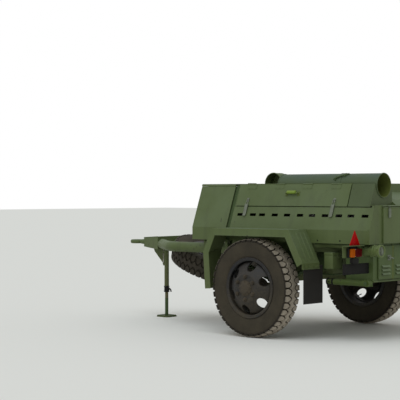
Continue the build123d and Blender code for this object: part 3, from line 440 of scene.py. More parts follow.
def closedRods(name, corners, radius):
    # Rods round a closed line, the first one from the last corner
    return [rod(name, corners[step - 1], corners[step], radius, 8) for step in range(len(corners))]


def bentRod(name, points, radius, sides=3):
    # A rod that rounds its corners, along a smooth path through its first and last points
    bpy.ops.object.select_all(action="DESELECT")
    bpy.ops.curve.primitive_nurbs_path_add()
    path = newest(name)
    path.data.splines.clear()
    line = path.data.splines.new("NURBS")
    line.points.add(len(points) - 1)
    for spot, point in zip(line.points, points):
        spot.co = (*point, 1)
    line.order_u = 3
    line.use_endpoint_u = True
    line.resolution_u = 8
    path.data.dimensions = "3D"
    path.data.bevel_depth = radius
    path.data.bevel_resolution = sides
    path.data.use_fill_caps = True
    pickOnly(path)
    bpy.ops.object.convert(target="MESH")
    return tidyFaces(settle(bpy.context.object))


def eased(piece, width, segments=2, angle=35):
    # Rounds the edges that are sharper than the angle
    bevel = piece.modifiers.new("edges", "BEVEL")
    bevel.width = width
    bevel.segments = segments
    bevel.limit_method = "ANGLE"
    bevel.angle_limit = math.radians(angle)
    pickOnly(piece)
    bpy.ops.object.modifier_apply(modifier=bevel.name)
    return piece


def copied(piece, name, shift=(0, 0, 0)):
    pickOnly(piece)
    bpy.ops.object.duplicate()
    copy = newest(name)
    copy.location = shift
    return settle(copy)


def mirrored(piece, name, scale=(1, -1, 1)):
    pickOnly(piece)
    bpy.ops.object.duplicate()
    copy = newest(name)
    copy.scale = scale
    return tidyFaces(settle(copy))


def aboutAxis(piece, name, centre, axis, angle):
    # A copy turned round an axis
    pickOnly(piece)
    bpy.ops.object.duplicate()
    copy = newest(name)
    turn = Matrix.Rotation(angle, 4, Vector(axis))
    copy.matrix_world = Matrix.Translation(centre) @ turn @ Matrix.Translation(-Vector(centre))
    return settle(copy)


def joined(name, pieces):
    pickOnly(*pieces)
    if len(pieces) > 1:
        bpy.ops.object.join()
    return newest(name)


def ringOf(name, piece, count, centre, axis):
    # The piece and its copies, evenly round an axis, as one
    copies = [aboutAxis(piece, name, centre, axis, 2 * math.pi * step / count) for step in range(1, count)]
    return joined(name, [piece] + copies)


def dress(piece, body, finish, replaces=(), smooth=38):
    pickOnly(piece)
    bpy.ops.object.shade_smooth_by_angle(angle=math.radians(smooth))
    piece.data.materials.clear()
    piece.data.materials.append(finishes[finish])
    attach(piece, body)
    if replaces:
        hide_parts(*replaces)
    return piece


def hexNut(name, spot, axis, across, height):
    # A nut with eased corners and the end of its stud
    spot, axis = Vector(spot), Vector(axis)
    nut = eased(rod(name, spot, spot + axis * height, across / math.sqrt(3), 6), across * 0.06, 1)
    stud = rod(name, spot + axis * height * 0.9, spot + axis * height * 1.35, across * 0.28, 8)
    return joined(name, [nut, stud])


def domeRivet(name, spot, axis, radius):
    spot, axis = Vector(spot), Vector(axis)
    dome = ((0, 1), (0.35, 0.8), (0.55, 0.35), (0.6, 0), (0, 0))
    profile = [(along * radius, reach * radius) for along, reach in dome]
    across = axis.orthogonal().normalized()
    return turned(name, profile, spot, axis, across, 8)


def rowOf(name, piece, shifts):
    # The piece, and a copy at each shift, as one
    return joined(name, [piece] + [copied(piece, name, shift) for shift in shifts])


def spots(base, steps):
    # Points at the steps from the base
    return [Vector(base) + Vector(step) for step in steps]


def boltRow(name, base, axis, across, height, places):
    # Nuts at the places across the trailer
    return [hexNut(name, (base[0], place, base[1]), axis, across, height) for place in places]


# Tyres: a moulded carcass with a separate tread of blocks

tyreSettings = {
    "pitches": 43,
    "carcassSide": (  # outboard of the middle, away from the axle
        (0.0805, 0.2640), (0.0805, 0.2860), (0.0885, 0.2960), (0.0930, 0.3080), (0.0935, 0.3110),
        (0.0975, 0.3250), (0.0978, 0.3285), (0.1005, 0.3430), (0.1022, 0.3640), (0.1022, 0.3850),
        (0.1016, 0.4030), (0.1008, 0.4180), (0.0990, 0.4290), (0.0955, 0.4375), (0.0880, 0.4420),
        (0.0620, 0.4490), (0.0300, 0.4520),
    ),
    "crown": 0.4675,
    "crownDrop": 0.0105,
    "crownHalf": 0.097,
    "blockDepth": 0.0150,
    "blockEase": 0.0022,
    "shield": (  # along the tread, across it from the middle; half of the outline, the other half mirrored
        (0.0238, 0.0965), (0.0262, 0.0800), (0.0258, 0.0665), (0.0212, 0.0520), (0.0140, 0.0410),
        (0.0065, 0.0345),
    ),
    "shieldTip": 0.0325,
    "buttress": (  # across, away from the axle
        (0.0800, 0.4480), (0.0800, 0.4600), (0.0955, 0.4572), (0.0995, 0.4535), (0.1016, 0.4450),
        (0.1014, 0.4370), (0.1004, 0.4310), (0.0960, 0.4320),
    ),
    "buttressHalf": 0.0238,
    "bandTooth": 0.0530,
    "bandWaist": 0.0145,
    "spareTilt": 22,
}


def crownAt(across):
    return tyreSettings["crown"] - tyreSettings["crownDrop"] * (across / tyreSettings["crownHalf"]) ** 2


def makeTyreAt(name, centre):
    # Built with its axle along Y and its outboard face to +Y
    side = tyreSettings["carcassSide"]
    profile = list(side) + [(-across, reach) for across, reach in side[::-1]]
    return turned(name, profile, centre, (0, 1, 0), (0, 0, 1), 96)


def raisedBlock(name, centre, points, ease):
    # A block of the tread over an outline of (along, across) points
    depth = tyreSettings["blockDepth"]
    foot = [
        centre + Vector((along, across, crownAt(across) - along ** 2 - depth)) for along, across in points
    ]
    return eased(outline(name, foot, (0, 0, depth)), ease, 1)


def bandOutline(step):
    # One pitch of the zigzag band: each edge dips beside a block of its own side
    tooth, dip = tyreSettings["bandTooth"], 0.85 * tyreSettings["bandWaist"]
    flank, waist = 0.62 * tooth, tyreSettings["bandWaist"]
    left = (
        (-0.5, tooth), (-0.36, flank), (-0.16, waist), (0.0, dip), (0.16, waist), (0.36, flank), (0.5, tooth),
    )
    right = (
        (0.5, -dip), (0.34, -waist), (0.14, -flank), (0.0, -tooth),
        (-0.14, -flank), (-0.34, -waist), (-0.5, -dip),
    )
    return [(along * step, across) for along, across in left + right]


def makeTreadAt(name, centre):
    # Shield-shaped shoulder blocks, staggered side to side, with a zigzag rib between them
    pitch = 2 * math.pi / tyreSettings["pitches"]
    step = pitch * tyreSettings["crown"]
    ease, half = tyreSettings["blockEase"], tyreSettings["buttressHalf"]
    shield = list(tyreSettings["shield"])
    shield += [(0.0, tyreSettings["shieldTip"])] + [(-along, across) for along, across in shield[::-1]]
    parts = []
    for side, turn in ((1, 0.0), (-1, 0.5)):
        shoulder = raisedBlock(name, centre, [(along, side * across) for along, across in shield], ease)
        section = [(side * across, reach) for across, reach in tyreSettings["buttress"]]
        points = [centre + Vector((-half, across, reach)) for across, reach in section]
        buttress = eased(outline(name, points, (2 * half, 0, 0)), ease, 1)
        for part in (shoulder, buttress):
            parts.append(aboutAxis(part, name, centre, (0, 1, 0), turn * pitch))
            bpy.data.objects.remove(part)
    parts.append(raisedBlock(name, centre, bandOutline(step), 0.0008))
    tread = joined(name, parts)
    hinge = bpy.data.objects.new("treadStep", None)
    bpy.context.scene.collection.objects.link(hinge)
    hinge.matrix_world = (
        Matrix.Translation(centre) @ Matrix.Rotation(pitch, 4, "Y") @ Matrix.Translation(-centre)
    )
    bpy.context.view_layer.update()
    array = tread.modifiers.new("round", "ARRAY")
    array.count = tyreSettings["pitches"]
    array.use_relative_offset = False
    array.use_object_offset = True
    array.offset_object = hinge
    pickOnly(tread)
    bpy.ops.object.modifier_apply(modifier=array.name)
    bpy.data.objects.remove(hinge)
    return tread


def wheelCentre(node):
    low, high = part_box(node)
    return (low + high) / 2


leftCentre = wheelCentre("tyre_left")
spareCentre = wheelCentre("tyre_spare")
tilt = math.radians(tyreSettings["spareTilt"])
spareDown = Vector((math.sin(tilt), 0, -math.cos(tilt)))
# Carries a piece of the left wheel to the spare one
toSpare = (
    Matrix.Translation(spareCentre)
    @ Vector((0, 1, 0)).rotation_difference(spareDown).to_matrix().to_4x4()
    @ Matrix.Translation(-leftCentre)
)


def spareCopy(piece, name):
    pickOnly(piece)
    bpy.ops.object.duplicate()
    copy = newest(name)
    copy.matrix_world = toSpare
    return settle(copy)


def dressWheels(name, piece, finish, nodes=None, spareFinish=None):
    # The left wheel's piece, its mirrored copy and the spare's copy
    turns = {side: math.radians(turn) for side, turn in wheelSettings["turns"].items()}
    forRight = aboutAxis(piece, name, leftCentre, (0, 1, 0), turns["Right"])
    right = mirrored(forRight, name + "Right")
    forSpare = aboutAxis(piece, name, leftCentre, (0, 1, 0), turns["Spare"])
    spare = spareCopy(forSpare, name + "Spare")
    bpy.data.objects.remove(forRight)
    bpy.data.objects.remove(forSpare)
    piece.name = piece.data.name = name + "Left"
    rides = (
        (piece, "wheel_left", "left", finish),
        (right, "wheel_right", "right", finish),
        (spare, "trailer", "spare", spareFinish or finish),
    )
    for copy, body, ending, paint in rides:
        dress(copy, body, paint, [f"{nodes}_{ending}"] if nodes else [])


# Wheels: pressed disc and rim in one, nuts, hub cap and valve

wheelSettings = {
    "rimSection": (  # outboard of the wheel's middle, away from the axle
        (-0.0885, 0.2540), (-0.0905, 0.2600), (-0.0905, 0.2840), (-0.0885, 0.2880), (-0.0855, 0.2875),
        (-0.0835, 0.2830), (-0.0830, 0.2680), (-0.0780, 0.2622), (0.0780, 0.2622), (0.0830, 0.2680),
        (0.0838, 0.2830), (0.0855, 0.2875), (0.0890, 0.2890), (0.0930, 0.2862), (0.0940, 0.2810),
        (0.0912, 0.2762), (0.0925, 0.2690), (0.0905, 0.2590), (0.0880, 0.2550), (0.0800, 0.2535),
        (-0.0800, 0.2530),
    ),
    "discSection": (  # the front from the rim to the hub, then the back
        (0.0060, 0.2545), (0.0220, 0.2545), (0.0420, 0.2498), (0.0560, 0.2460), (0.0660, 0.2405),
        (0.0760, 0.2290), (0.0880, 0.2140), (0.0990, 0.2000), (0.1085, 0.1885), (0.1190, 0.1735),
        (0.1290, 0.1590), (0.1385, 0.1450), (0.1445, 0.1365), (0.1475, 0.1290), (0.1482, 0.1210),
        (0.1482, 0.0740), (0.1385, 0.0722), (0.1385, 0.1230), (0.1355, 0.1310), (0.1290, 0.1400),
        (0.1190, 0.1545), (0.1090, 0.1690), (0.0990, 0.1830), (0.0890, 0.1955), (0.0780, 0.2090),
        (0.0670, 0.2240), (0.0580, 0.2345), (0.0480, 0.2395), (0.0300, 0.2430), (0.0060, 0.2445),
    ),
    "handHoles": (6, 0.205, 0.046),  # how many, on which circle, radius
    "holeTurn": 20,
    "cutterReach": (-0.02, 0.18),
    "discFace": 0.1481,
    "nutCount": 6,
    "nutCircle": 0.1080,
    "nutAcross": 0.034,
    "nutHeight": 0.0165,
    "seatRadius": 0.021,
    "capSection": (
        (0.1480, 0.0000), (0.1480, 0.0745), (0.1525, 0.0740), (0.1545, 0.0700), (0.1550, 0.0560),
        (0.1625, 0.0535), (0.1660, 0.0470), (0.1680, 0.0330), (0.1685, 0.0000),
    ),
    "hubBolts": (8, 0.0640, 0.012),  # how many, on which circle, across flats
    "hubBoltFace": 0.1540,
    "valve": ((0.251, 0.020), (0.244, 0.045), (0.232, 0.075), (0.222, 0.098)),  # from the axle, outboard
    "valveRadius": 0.0045,
    "turns": {"Right": -28, "Spare": -12},  # so that the hand holes lie as in the solids
}


def onWheel(degrees, reach, out):
    # A point of the left wheel: clockwise from the front as seen from outboard, from the axle, outboard
    turn = math.radians(degrees)
    return leftCentre + Vector((math.cos(turn) * reach, out, -math.sin(turn) * reach))


def handHoleCutter():
    count, circle, radius = wheelSettings["handHoles"]
    back, front = wheelSettings["cutterReach"]
    degrees = wheelSettings["holeTurn"]
    cutter = rod("cutter", onWheel(degrees, circle, back), onWheel(degrees, circle, front), radius, 28)
    return ringOf("cutter", cutter, count, leftCentre, (0, 1, 0))


def makeWheelDisc():
    rim = turned("rim", wheelSettings["rimSection"], leftCentre, (0, 1, 0), (0, 0, 1), 80)
    disc = turned("disc", wheelSettings["discSection"], leftCentre, (0, 1, 0), (0, 0, 1), 80)
    cutter = handHoleCutter()
    cut = disc.modifiers.new("handHoles", "BOOLEAN")
    cut.operation = "DIFFERENCE"
    cut.object = cutter
    cut.solver = "EXACT"
    pickOnly(disc)
    bpy.ops.object.modifier_apply(modifier=cut.name)
    bpy.data.objects.remove(cutter)
    return joined("disc", [disc, rim])


def makeWheelNuts():
    face, circle = wheelSettings["discFace"], wheelSettings["nutCircle"]
    spot = leftCentre + Vector((0, face, circle))
    nut = hexNut("nut", spot, (0, 1, 0), wheelSettings["nutAcross"], wheelSettings["nutHeight"])
    ends = spots(spot, ((0, -0.002, 0), (0, 0.003, 0)))
    seat = eased(rod("seat", *ends, wheelSettings["seatRadius"], 20), 0.0015, 1)
    return ringOf("nut", joined("nut", [nut, seat]), wheelSettings["nutCount"], leftCentre, (0, 1, 0))


def makeHubCap():
    cap = turned("cap", wheelSettings["capSection"], leftCentre, (0, 1, 0), (0, 0, 1), 48)
    count, circle, across = wheelSettings["hubBolts"]
    spot = leftCentre + Vector((0, wheelSettings["hubBoltFace"], circle))
    bolt = hexNut("bolt", spot, (0, 1, 0), across, 0.006)
    return joined("cap", [cap, ringOf("bolt", bolt, count, leftCentre, (0, 1, 0))])


def makeValve():
    # Comes up from the rim through the hand hole after the first
    degrees = wheelSettings["holeTurn"] + 360 / wheelSettings["handHoles"][0]
    points = [onWheel(degrees, reach, out) for reach, out in wheelSettings["valve"]]
    return bentRod("valve", points, wheelSettings["valveRadius"])


dressWheels("carcass", makeTyreAt("carcass", leftCentre), "sidewall", "tyre")
dressWheels("tread", makeTreadAt("tread", leftCentre), "tread", spareFinish="shadedSpareTread")
print("tyres made")
dressWheels("disc", makeWheelDisc(), "wheel", "wheel")
dressWheels("nuts", makeWheelNuts(), "hub")
dressWheels("hubCap", makeHubCap(), "hub")
dressWheels("valve", makeValve(), "black")
print("wheels made")

# Body: where its sheets lie, and what is riveted to them

bodySettings = {
    "half": 0.765,
    "shoulder": 1.024,
    "roof": 1.450,
    "roofHalf": 0.610,
    "rear": -1.865,
    "front": 0.295,
    "lidRear": -1.561,
    "lidFront": -0.209,
    "lidLow": 1.235,
    "lidHigh": 1.430,
    "frontLidRear": -0.153,
    "frontRim": (1.4285, 1.4465),  # foot and top of the front lid's rim
    "rimFaces": (0.0004, 0.0036),  # its inner and outer face, out from the sheet
    "hinges": 4,
    "hingeLeaf": (1.398, 1.438, 0.055),  # foot, top, half its length
    "leafRivets": (-0.04, 0, 0.04),
}
flankRise = bodySettings["roof"] - bodySettings["shoulder"]
flankLean = (bodySettings["half"] - bodySettings["roofHalf"]) / flankRise
flankOut = Vector((0, 1, flankLean)).normalized()


def onFlank(x, height, out=0.0):
    # A point on the left flank, or a little outside it
    rise = max(0.0, height - bodySettings["shoulder"])
    spot = Vector((x, bodySettings["half"] - rise * flankLean, height))
    return spot + (flankOut if rise > 0 else Vector((0, 1, 0))) * out


def sectionAt(x, section):
    # A section of (height, distance out) pairs, at one place along the left flank
    return [onFlank(x, height, out) for height, out in section]


def bothSides(name, piece, body, finish, otherBody=None, replaces=None, smooth=38):
    # The left piece, and its mirrored copy on the right
    other = mirrored(piece, name + "Right")
    piece.name = piece.data.name = name + "Left"
    for copy, rides, ending in ((piece, body, "left"), (other, otherBody or body, "right")):
        dress(copy, rides, finish, [f"{replaces}_{ending}"] if replaces else [], smooth)


def makeFrontLidRim():
    rear, front = bodySettings["frontLidRear"] + 0.002, bodySettings["front"]
    (low, high), (skin, face) = bodySettings["frontRim"], bodySettings["rimFaces"]
    section = ((low, skin), (low, face), (high, face), (high, skin))
    side = outline("rim", sectionAt(rear, section), (front - rear, 0, 0))
    other = mirrored(side, "rim")
    reach = onFlank(front, low).y
    nose = block("rim", (front + skin, -reach, low), (front + face, reach, high))
    return eased(joined("rim", [side, other, nose]), 0.001, 1)


def makeLidHem():
    rear, front = bodySettings["lidRear"], bodySettings["lidFront"]
    low, high = bodySettings["lidLow"] + 0.003, bodySettings["lidHigh"]
    hem = [rod("hem", onFlank(rear, low, 0.0005), onFlank(front, low, 0.0005), 0.0032, 8)]
    for x in (rear + 0.003, front - 0.003):
        hem.append(rod("hem", onFlank(x, low, 0.0005), onFlank(x, high, 0.0005), 0.0025, 8))
    return joined("hem", hem)


def makeHingeLeaves():
    # A riveted leaf below each hinge barrel
    leaves = []
    count = bodySettings["hinges"]
    length = bodySettings["lidFront"] - bodySettings["lidRear"]
    low, high, half = bodySettings["hingeLeaf"]
    section = ((low, 0.0003), (low, 0.0025), (high, 0.0025), (high, 0.0003))
    for barrel in range(count):
        middle = bodySettings["lidRear"] + (barrel + 0.5) * length / count
        leaf = outline("leaf", sectionAt(middle - half, section), (2 * half, 0, 0))
        leaves.append(eased(leaf, 0.0008, 1))
        for step in bodySettings["leafRivets"]:
            leaves.append(domeRivet("rivet", onFlank(middle + step, low + 0.010, 0.0024), flankOut, 0.004))
    return joined("leaf", leaves)


latchSettings = {
    "places": (-0.360, -1.405),
    "width": 0.034,
    "lever": (  # height, distance from the flank: down the outside, then back up the inside
        (1.2530, 0.0060), (1.2500, 0.0125), (1.2400, 0.0155), (1.2200, 0.0150), (1.1900, 0.0130),
        (1.1600, 0.0125), (1.1440, 0.0145), (1.1375, 0.0195), (1.1360, 0.0180), (1.1420, 0.0120),
        (1.1560, 0.0090), (1.1900, 0.0090), (1.2200, 0.0105), (1.2360, 0.0105), (1.2440, 0.0060),
    ),
    "flange": (
        (1.2480, 0.0010), (1.2480, 0.0140), (1.2150, 0.0150), (1.1650, 0.0120), (1.1650, 0.0060),
        (1.2380, 0.0060), (1.2380, 0.0010),
    ),
    "hookTop": 1.296,
    "hook": (  # along the flank, height, distance from the flank
        (-0.011, 1.232, 0.011), (-0.011, 1.250, 0.010), (-0.011, 1.296, 0.007), (0, 1.300, 0.007),
        (0.011, 1.296, 0.007), (0.011, 1.250, 0.010), (0.011, 1.232, 0.011),
    ),
    "catch": (  # over the hook's top, distance from the flank
        (-0.020, 0.0003), (-0.020, 0.0030), (-0.004, 0.0035), (-0.002, 0.0110), (0.002, 0.0110),
        (0.003, 0.0030), (0.016, 0.0025), (0.016, 0.0003),
    ),
    "pin": (1.2430, 0.0085),  # height, distance from the flank
}


def makeLatch(place):
    half, top = latchSettings["width"] / 2, latchSettings["hookTop"]
    lever = outline("lever", sectionAt(place - half, latchSettings["lever"]), (2 * half, 0, 0))
    lever = eased(lever, 0.0015, 2)
    flanges = []
    for side in (-1, 1):
        edge = place + side * half - 0.0012
        flanges.append(outline("lever", sectionAt(edge, latchSettings["flange"]), (0.0024, 0, 0)))
    path = [onFlank(place + along, height, out) for along, height, out in latchSettings["hook"]]
    hook = bentRod("hook", path, 0.0028, 2)
    section = [(top + rise, out) for rise, out in latchSettings["catch"]]
    catch = eased(outline("catch", sectionAt(place - 0.014, section), (0.028, 0, 0)), 0.0008, 1)
    ends = [onFlank(place + side * (half + 0.002), *latchSettings["pin"]) for side in (-1, 1)]
    pin = rod("pin", *ends, 0.0035, 10)
    rivets = [
        domeRivet("rivet", onFlank(place + step, top + 0.009, 0.0024), flankOut, 0.0032)
        for step in (-0.008, 0.008)
    ]
    return joined("latch", [lever, hook, catch, pin] + flanges + rivets)


handleSettings = {
    "middle": -0.897,
    "half": 0.070,
    "height": 1.352,
    "out": 0.024,
    "radius": 0.0062,
    "footHalf": (0.015, 0.022),  # along the flank, up
    "grip": (0.050, 0.0165),  # half its length, radius
}


def makeLidHandle():
    middle, half, height = handleSettings["middle"], handleSettings["half"], handleSettings["height"]
    out = handleSettings["out"]
    steps = (
        (-1.0, 0.001), (-1.0, 0.8 * out), (-0.97, out), (-0.75, out),
        (0.75, out), (0.97, out), (1.0, 0.8 * out), (1.0, 0.001),
    )
    path = [onFlank(middle + half * step, height, reach) for step, reach in steps]
    parts = [bentRod("handle", path, handleSettings["radius"])]
    along, up = handleSettings["footHalf"]
    low, high = height - up, height + up
    section = ((low, 0.0003), (low, 0.0030), (high, 0.0030), (high, 0.0003))
    for side in (-1, 1):
        place = middle + side * half
        parts.append(eased(outline("foot", sectionAt(place - along, section), (2 * along, 0, 0)), 0.001, 1))
        for step in (-0.015, 0.015):
            parts.append(domeRivet("rivet", onFlank(place, height + step, 0.0028), flankOut, 0.0034))
    return joined("handle", parts)


def makeLidGrip():
    # Thick hand grip round the middle of the wire
    half, radius = handleSettings["grip"]
    middle, height = handleSettings["middle"], handleSettings["height"] + 0.008
    ends = [onFlank(middle + side * half, height, handleSettings["out"]) for side in (-1, 1)]
    return eased(rod("grip", *ends, radius, 20), 0.005, 2)


dress(makeFrontLidRim(), "front_lid", "body")
bothSides("lidHem", makeLidHem(), "lid_left", "body", "lid_right")
bothSides("hingeLeaves", makeHingeLeaves(), "lid_left", "body", "lid_right")
latches = joined("latches", [makeLatch(place) for place in latchSettings["places"]])
bothSides("latches", latches, "lid_left", "latch", "lid_right", "lid_fittings")
bothSides("lidHandle", makeLidHandle(), "lid_left", "olive", "lid_right")
bothSides("lidGrip", makeLidGrip(), "lid_left", "grip", "lid_right")
print("lids made")

# Rear wall: door frame, gutter, rivets and the doors' furniture

rearSettings = {
    "doorHalf": 0.570,
    "doorLow": 0.906,
    "doorHigh": 1.232,
    "doorFace": -1.8784,
    "gutter": ((0, 0), (-0.014, -0.001), (-0.014, 0.002), (-0.010, 0.004), (0, 0.007)),
    "rivets": ((0.640, 0.950), (0.640, 1.060), (0.635, 1.170)),  # across, height
    "clipPlace": 0.480,
    "clip": (  # out of the door's face, height
        (-0.0005, 1.142), (-0.0050, 1.136), (-0.0120, 1.140), (-0.0120, 1.160),
        (-0.0140, 1.190), (-0.0140, 1.212), (-0.0100, 1.219), (-0.0005, 1.219),
    ),
    "clipHook": (  # out of the door's face, across, height
        (-0.009, -0.009, 1.200), (-0.008, -0.009, 1.228), (-0.002, -0.009, 1.243),
        (-0.002, 0.009, 1.243), (-0.008, 0.009, 1.228), (-0.009, 0.009, 1.200),
    ),
    "cabinetRear": -1.810,
    "louvreFace": -1.8224,
    "slits": (3, 0.621, 0.034),  # how many, height of the first, spacing
    "slitLength": 0.124,
    "hoodSection": (  # out of the door's face, over the slit's middle
        (0.0, 0.0170), (-0.0080, 0.0120), (-0.0150, 0.0010), (-0.0150, -0.0015), (-0.0125, -0.0015),
        (-0.0068, 0.0088), (0.0, 0.0128),
    ),
    "turnLatch": (0.398, 0.772),  # across, height
    "turnPlateHalf": (0.026, 0.024),
    "turnLever": (  # out of the door's face, across, height
        (-0.012, 0.424, 0.775), (-0.016, 0.400, 0.773), (-0.018, 0.375, 0.770), (-0.016, 0.350, 0.762),
    ),
    "post": (0.3265, 0.3485),  # between the lower doors
    "postHeights": (0.576, 0.886),
    "sill": ((-0.0003, 0.556), (-0.016, 0.556), (-0.018, 0.561), (-0.0003, 0.571)),
    "sillHalf": 0.630,
    "doors": (  # body, middles of its louvre columns
        ("louvre_door_left", (0.454,)),
        ("louvre_door_middle", (0.233, 0.0, -0.233)),
        ("louvre_door_right", (-0.454,)),
    ),
}


def makeDoorFrame():
    # Gutter over the upper door, and the rivets beside it
    rear, half = bodySettings["rear"], rearSettings["doorHalf"] + 0.01
    high = rearSettings["doorHigh"] + 0.010
    points = [Vector((rear - 0.0004 + x, -half, high + z)) for x, z in rearSettings["gutter"]]
    gutter = outline("gutter", points, (0, 2 * half, 0))
    rivets = [
        domeRivet("rivet", (rear, side * across, height), (-1, 0, 0), 0.0048)
        for side in (1, -1) for across, height in rearSettings["rivets"]
    ]
    return joined("gutter", [gutter] + rivets)


def makeDoorRim():
    # Folded edge of the upper door
    x, half = rearSettings["doorFace"], rearSettings["doorHalf"] - 0.004
    low, high = rearSettings["doorLow"] + 0.004, rearSettings["doorHigh"] - 0.004
    corners = ((x, half, low), (x, half, high), (x, -half, high), (x, -half, low))
    return joined("rim", closedRods("rim", corners, 0.0035))


def makeDoorClip():
    x, y = rearSettings["doorFace"], rearSettings["clipPlace"]
    points = [Vector((x + out, y - 0.015, z)) for out, z in rearSettings["clip"]]
    lever = eased(outline("clip", points, (0, 0.03, 0)), 0.0015, 2)
    path = [Vector((x + out, y + side, z)) for out, side, z in rearSettings["clipHook"]]
    return joined("clip", [lever, bentRod("hook", path, 0.0026, 2)])


def makeHoods(columns):
    # Pressed hoods over the slits, open below
    count, first, pitch = rearSettings["slits"]
    length = rearSettings["slitLength"]
    hoods = []
    for column in columns:
        points = [
            Vector((rearSettings["louvreFace"] + out, column - length / 2, first + rise))
            for out, rise in rearSettings["hoodSection"]
        ]
        hood = outline("hood", points, (0, length, 0))
        hoods.append(rowOf("hood", hood, [(0, 0, pitch * step) for step in range(1, count)]))
    return joined("hood", hoods)


def makeTurnLatch():
    face, (y, z) = rearSettings["louvreFace"], rearSettings["turnLatch"]
    across, up = rearSettings["turnPlateHalf"]
    boss = eased(rod("boss", (face + 0.0004, y, z), (face - 0.014, y, z), 0.014, 20), 0.002, 2)
    path = [Vector((face + out, side, height)) for out, side, height in rearSettings["turnLever"]]
    lever = bentRod("lever", path, 0.0062)
    low, high = (face - 0.0025, y - across, z - up), (face - 0.0002, y + across, z + up)
    return joined("turnLatch", [boss, lever, softBlock("plate", low, high, 0.001)])


def makeDoorPosts():
    face, places = rearSettings["cabinetRear"], rearSettings["post"]
    low, high = rearSettings["postHeights"]
    posts = []
    for side in (1, -1):
        near, far = sorted(side * place for place in places)
        posts.append(softBlock("post", (face - 0.0130, near, low), (face - 0.0003, far, high), 0.0015))
    return joined("post", posts)


def makeDoorSill():
    face, half = rearSettings["cabinetRear"], rearSettings["sillHalf"]
    points = [Vector((face + x, -half, z)) for x, z in rearSettings["sill"]]
    return eased(outline("sill", points, (0, 2 * half, 0)), 0.0012, 1)


dress(makeDoorFrame(), "trailer", "body")
dress(makeDoorRim(), "rear_door", "body")
clips = makeDoorClip()
otherClip = mirrored(clips, "clipRight")
dress(joined("doorClips", [clips, otherClip]), "rear_door", "latch")
for door, columns in rearSettings["doors"]:
    hoods = makeHoods(columns)
    hoods.name = "hoods_" + door
    dress(hoods, door, "hood", smooth=50)
bothSides("turnLatch", makeTurnLatch(), "louvre_door_left", "latch", "louvre_door_right")
dress(makeDoorPosts(), "trailer", "olive")
dress(makeDoorSill(), "trailer", "body")
print("rear doors made")

# Chimney: rolled mouths and the joint where it comes apart, with its toggle

chimneySettings = {
    "middle": (0.4815, 1.430),  # across, height
    "radius": 0.110,
    "rear": -1.825,
    "front": -0.668,
    "joint": -1.385,
    "bandHalf": 0.024,
    "seam": (-0.94, 0.342),  # across and up from the axis, in radii
    "toggle": (  # along from the joint, degrees outboard of the top, out of the tube
        (0.055, 60, 0.008), (0.030, 56, 0.014), (0.0, 50, 0.016), (-0.045, 41, 0.014), (-0.085, 22, 0.007),
    ),
    "lugs": ((0.034, 57), (-0.054, 38)),
    "lugSection": ((-8, 0.002), (-5, 0.014), (5, 0.014), (8, 0.002)),
    "seal": (-1.818, 0.248, 1.2368, 1.2492),  # rear end, length, foot, top
    "flue": (-0.545, 1.450),
    "flueRadius": 0.105,
    "flueMouth": 0.510,
}


def rolledBead(name, centre, axis, radius, thickness, steps=56):
    # A wire edge rolled round a circle
    axis = Vector(axis)
    profile = [
        (math.cos(turn) * thickness, radius + math.sin(turn) * thickness)
        for turn in [2 * math.pi * step / 8 for step in range(8)]
    ]
    across = Vector((0, 0, 1)) if abs(axis.z) < 0.5 else Vector((1, 0, 0))
    return turned(name, profile, centre, axis, across, steps)


def makeChimneyRims():
    y, z = chimneySettings["middle"]
    rear, front, radius = chimneySettings["rear"], chimneySettings["front"], chimneySettings["radius"]
    rims = [rolledBead("rim", (x, y, z), (1, 0, 0), radius, 0.005) for x in (rear + 0.004, front - 0.004)]
    half = chimneySettings["bandHalf"]
    side = ((half, 0.0002), (half, 0.003), (half - 0.005, 0.0055), (0.004, 0.0035))
    profile = [(-along, radius + out) for along, out in side]
    profile += [(along, radius + out) for along, out in side[::-1]]
    rims.append(turned("band", profile, (chimneySettings["joint"], y, z), (1, 0, 0), (0, 0, 1), 64))
    # Lock seam along the inboard side
    across, up = (radius * share for share in chimneySettings["seam"])
    seam = rod("seam", (rear + 0.01, y + across, z + up), (front - 0.01, y + across, z + up), 0.0035, 8)
    return joined("rims", rims + [seam])


def onTube(along, degrees, out):
    # A point beside the joint of the chimney
    y, z = chimneySettings["middle"]
    turn, reach = math.radians(degrees), chimneySettings["radius"] + out
    x = chimneySettings["joint"] + along
    return Vector((x, y + math.sin(turn) * reach, z + math.cos(turn) * reach))


def makeToggle():
    # Over-centre lever that lies slantwise over the joint, on the outboard side of the tube
    lever = bentRod("toggle", [onTube(*spot) for spot in chimneySettings["toggle"]], 0.0070)
    lugs = []
    for along, turn in chimneySettings["lugs"]:
        corners = [onTube(along - 0.009, turn + swing, out) for swing, out in chimneySettings["lugSection"]]
        lugs.append(eased(outline("lug", corners, (0.018, 0, 0)), 0.002, 1))
    pin = rod("pin", onTube(0.034, 46, 0.010), onTube(0.034, 68, 0.010), 0.004, 10)
    return joined("toggle", [lever, pin] + lugs)


def makeSkirtSeal():
    # Strip between the skirt below the chimney and the side panel
    rear, length, low, high = chimneySettings["seal"]
    section = ((low, -0.008), (low, 0.0002), (high, 0.0002), (high, -0.008))
    return outline("seal", sectionAt(rear, section), (length, 0, 0))


flueX, flueZ = chimneySettings["flue"]
# The skirt seal takes the bed's painted-shade green
dress(makeSkirtSeal(), "trailer", "bed")
dress(makeChimneyRims(), "chimney", "chimney")
# The toggle takes the painted-shade green
dress(makeToggle(), "chimney", "shadedGreen")
flueMouth = (flueX, chimneySettings["flueMouth"] - 0.003, flueZ)
flueRim = rolledBead("flueRim", flueMouth, (0, 1, 0), chimneySettings["flueRadius"], 0.004)
dress(flueRim, "trailer", "body")
print("chimney made")

# Rivets, corner strips and drain holes of the body; each hole is a black disc of painted shade

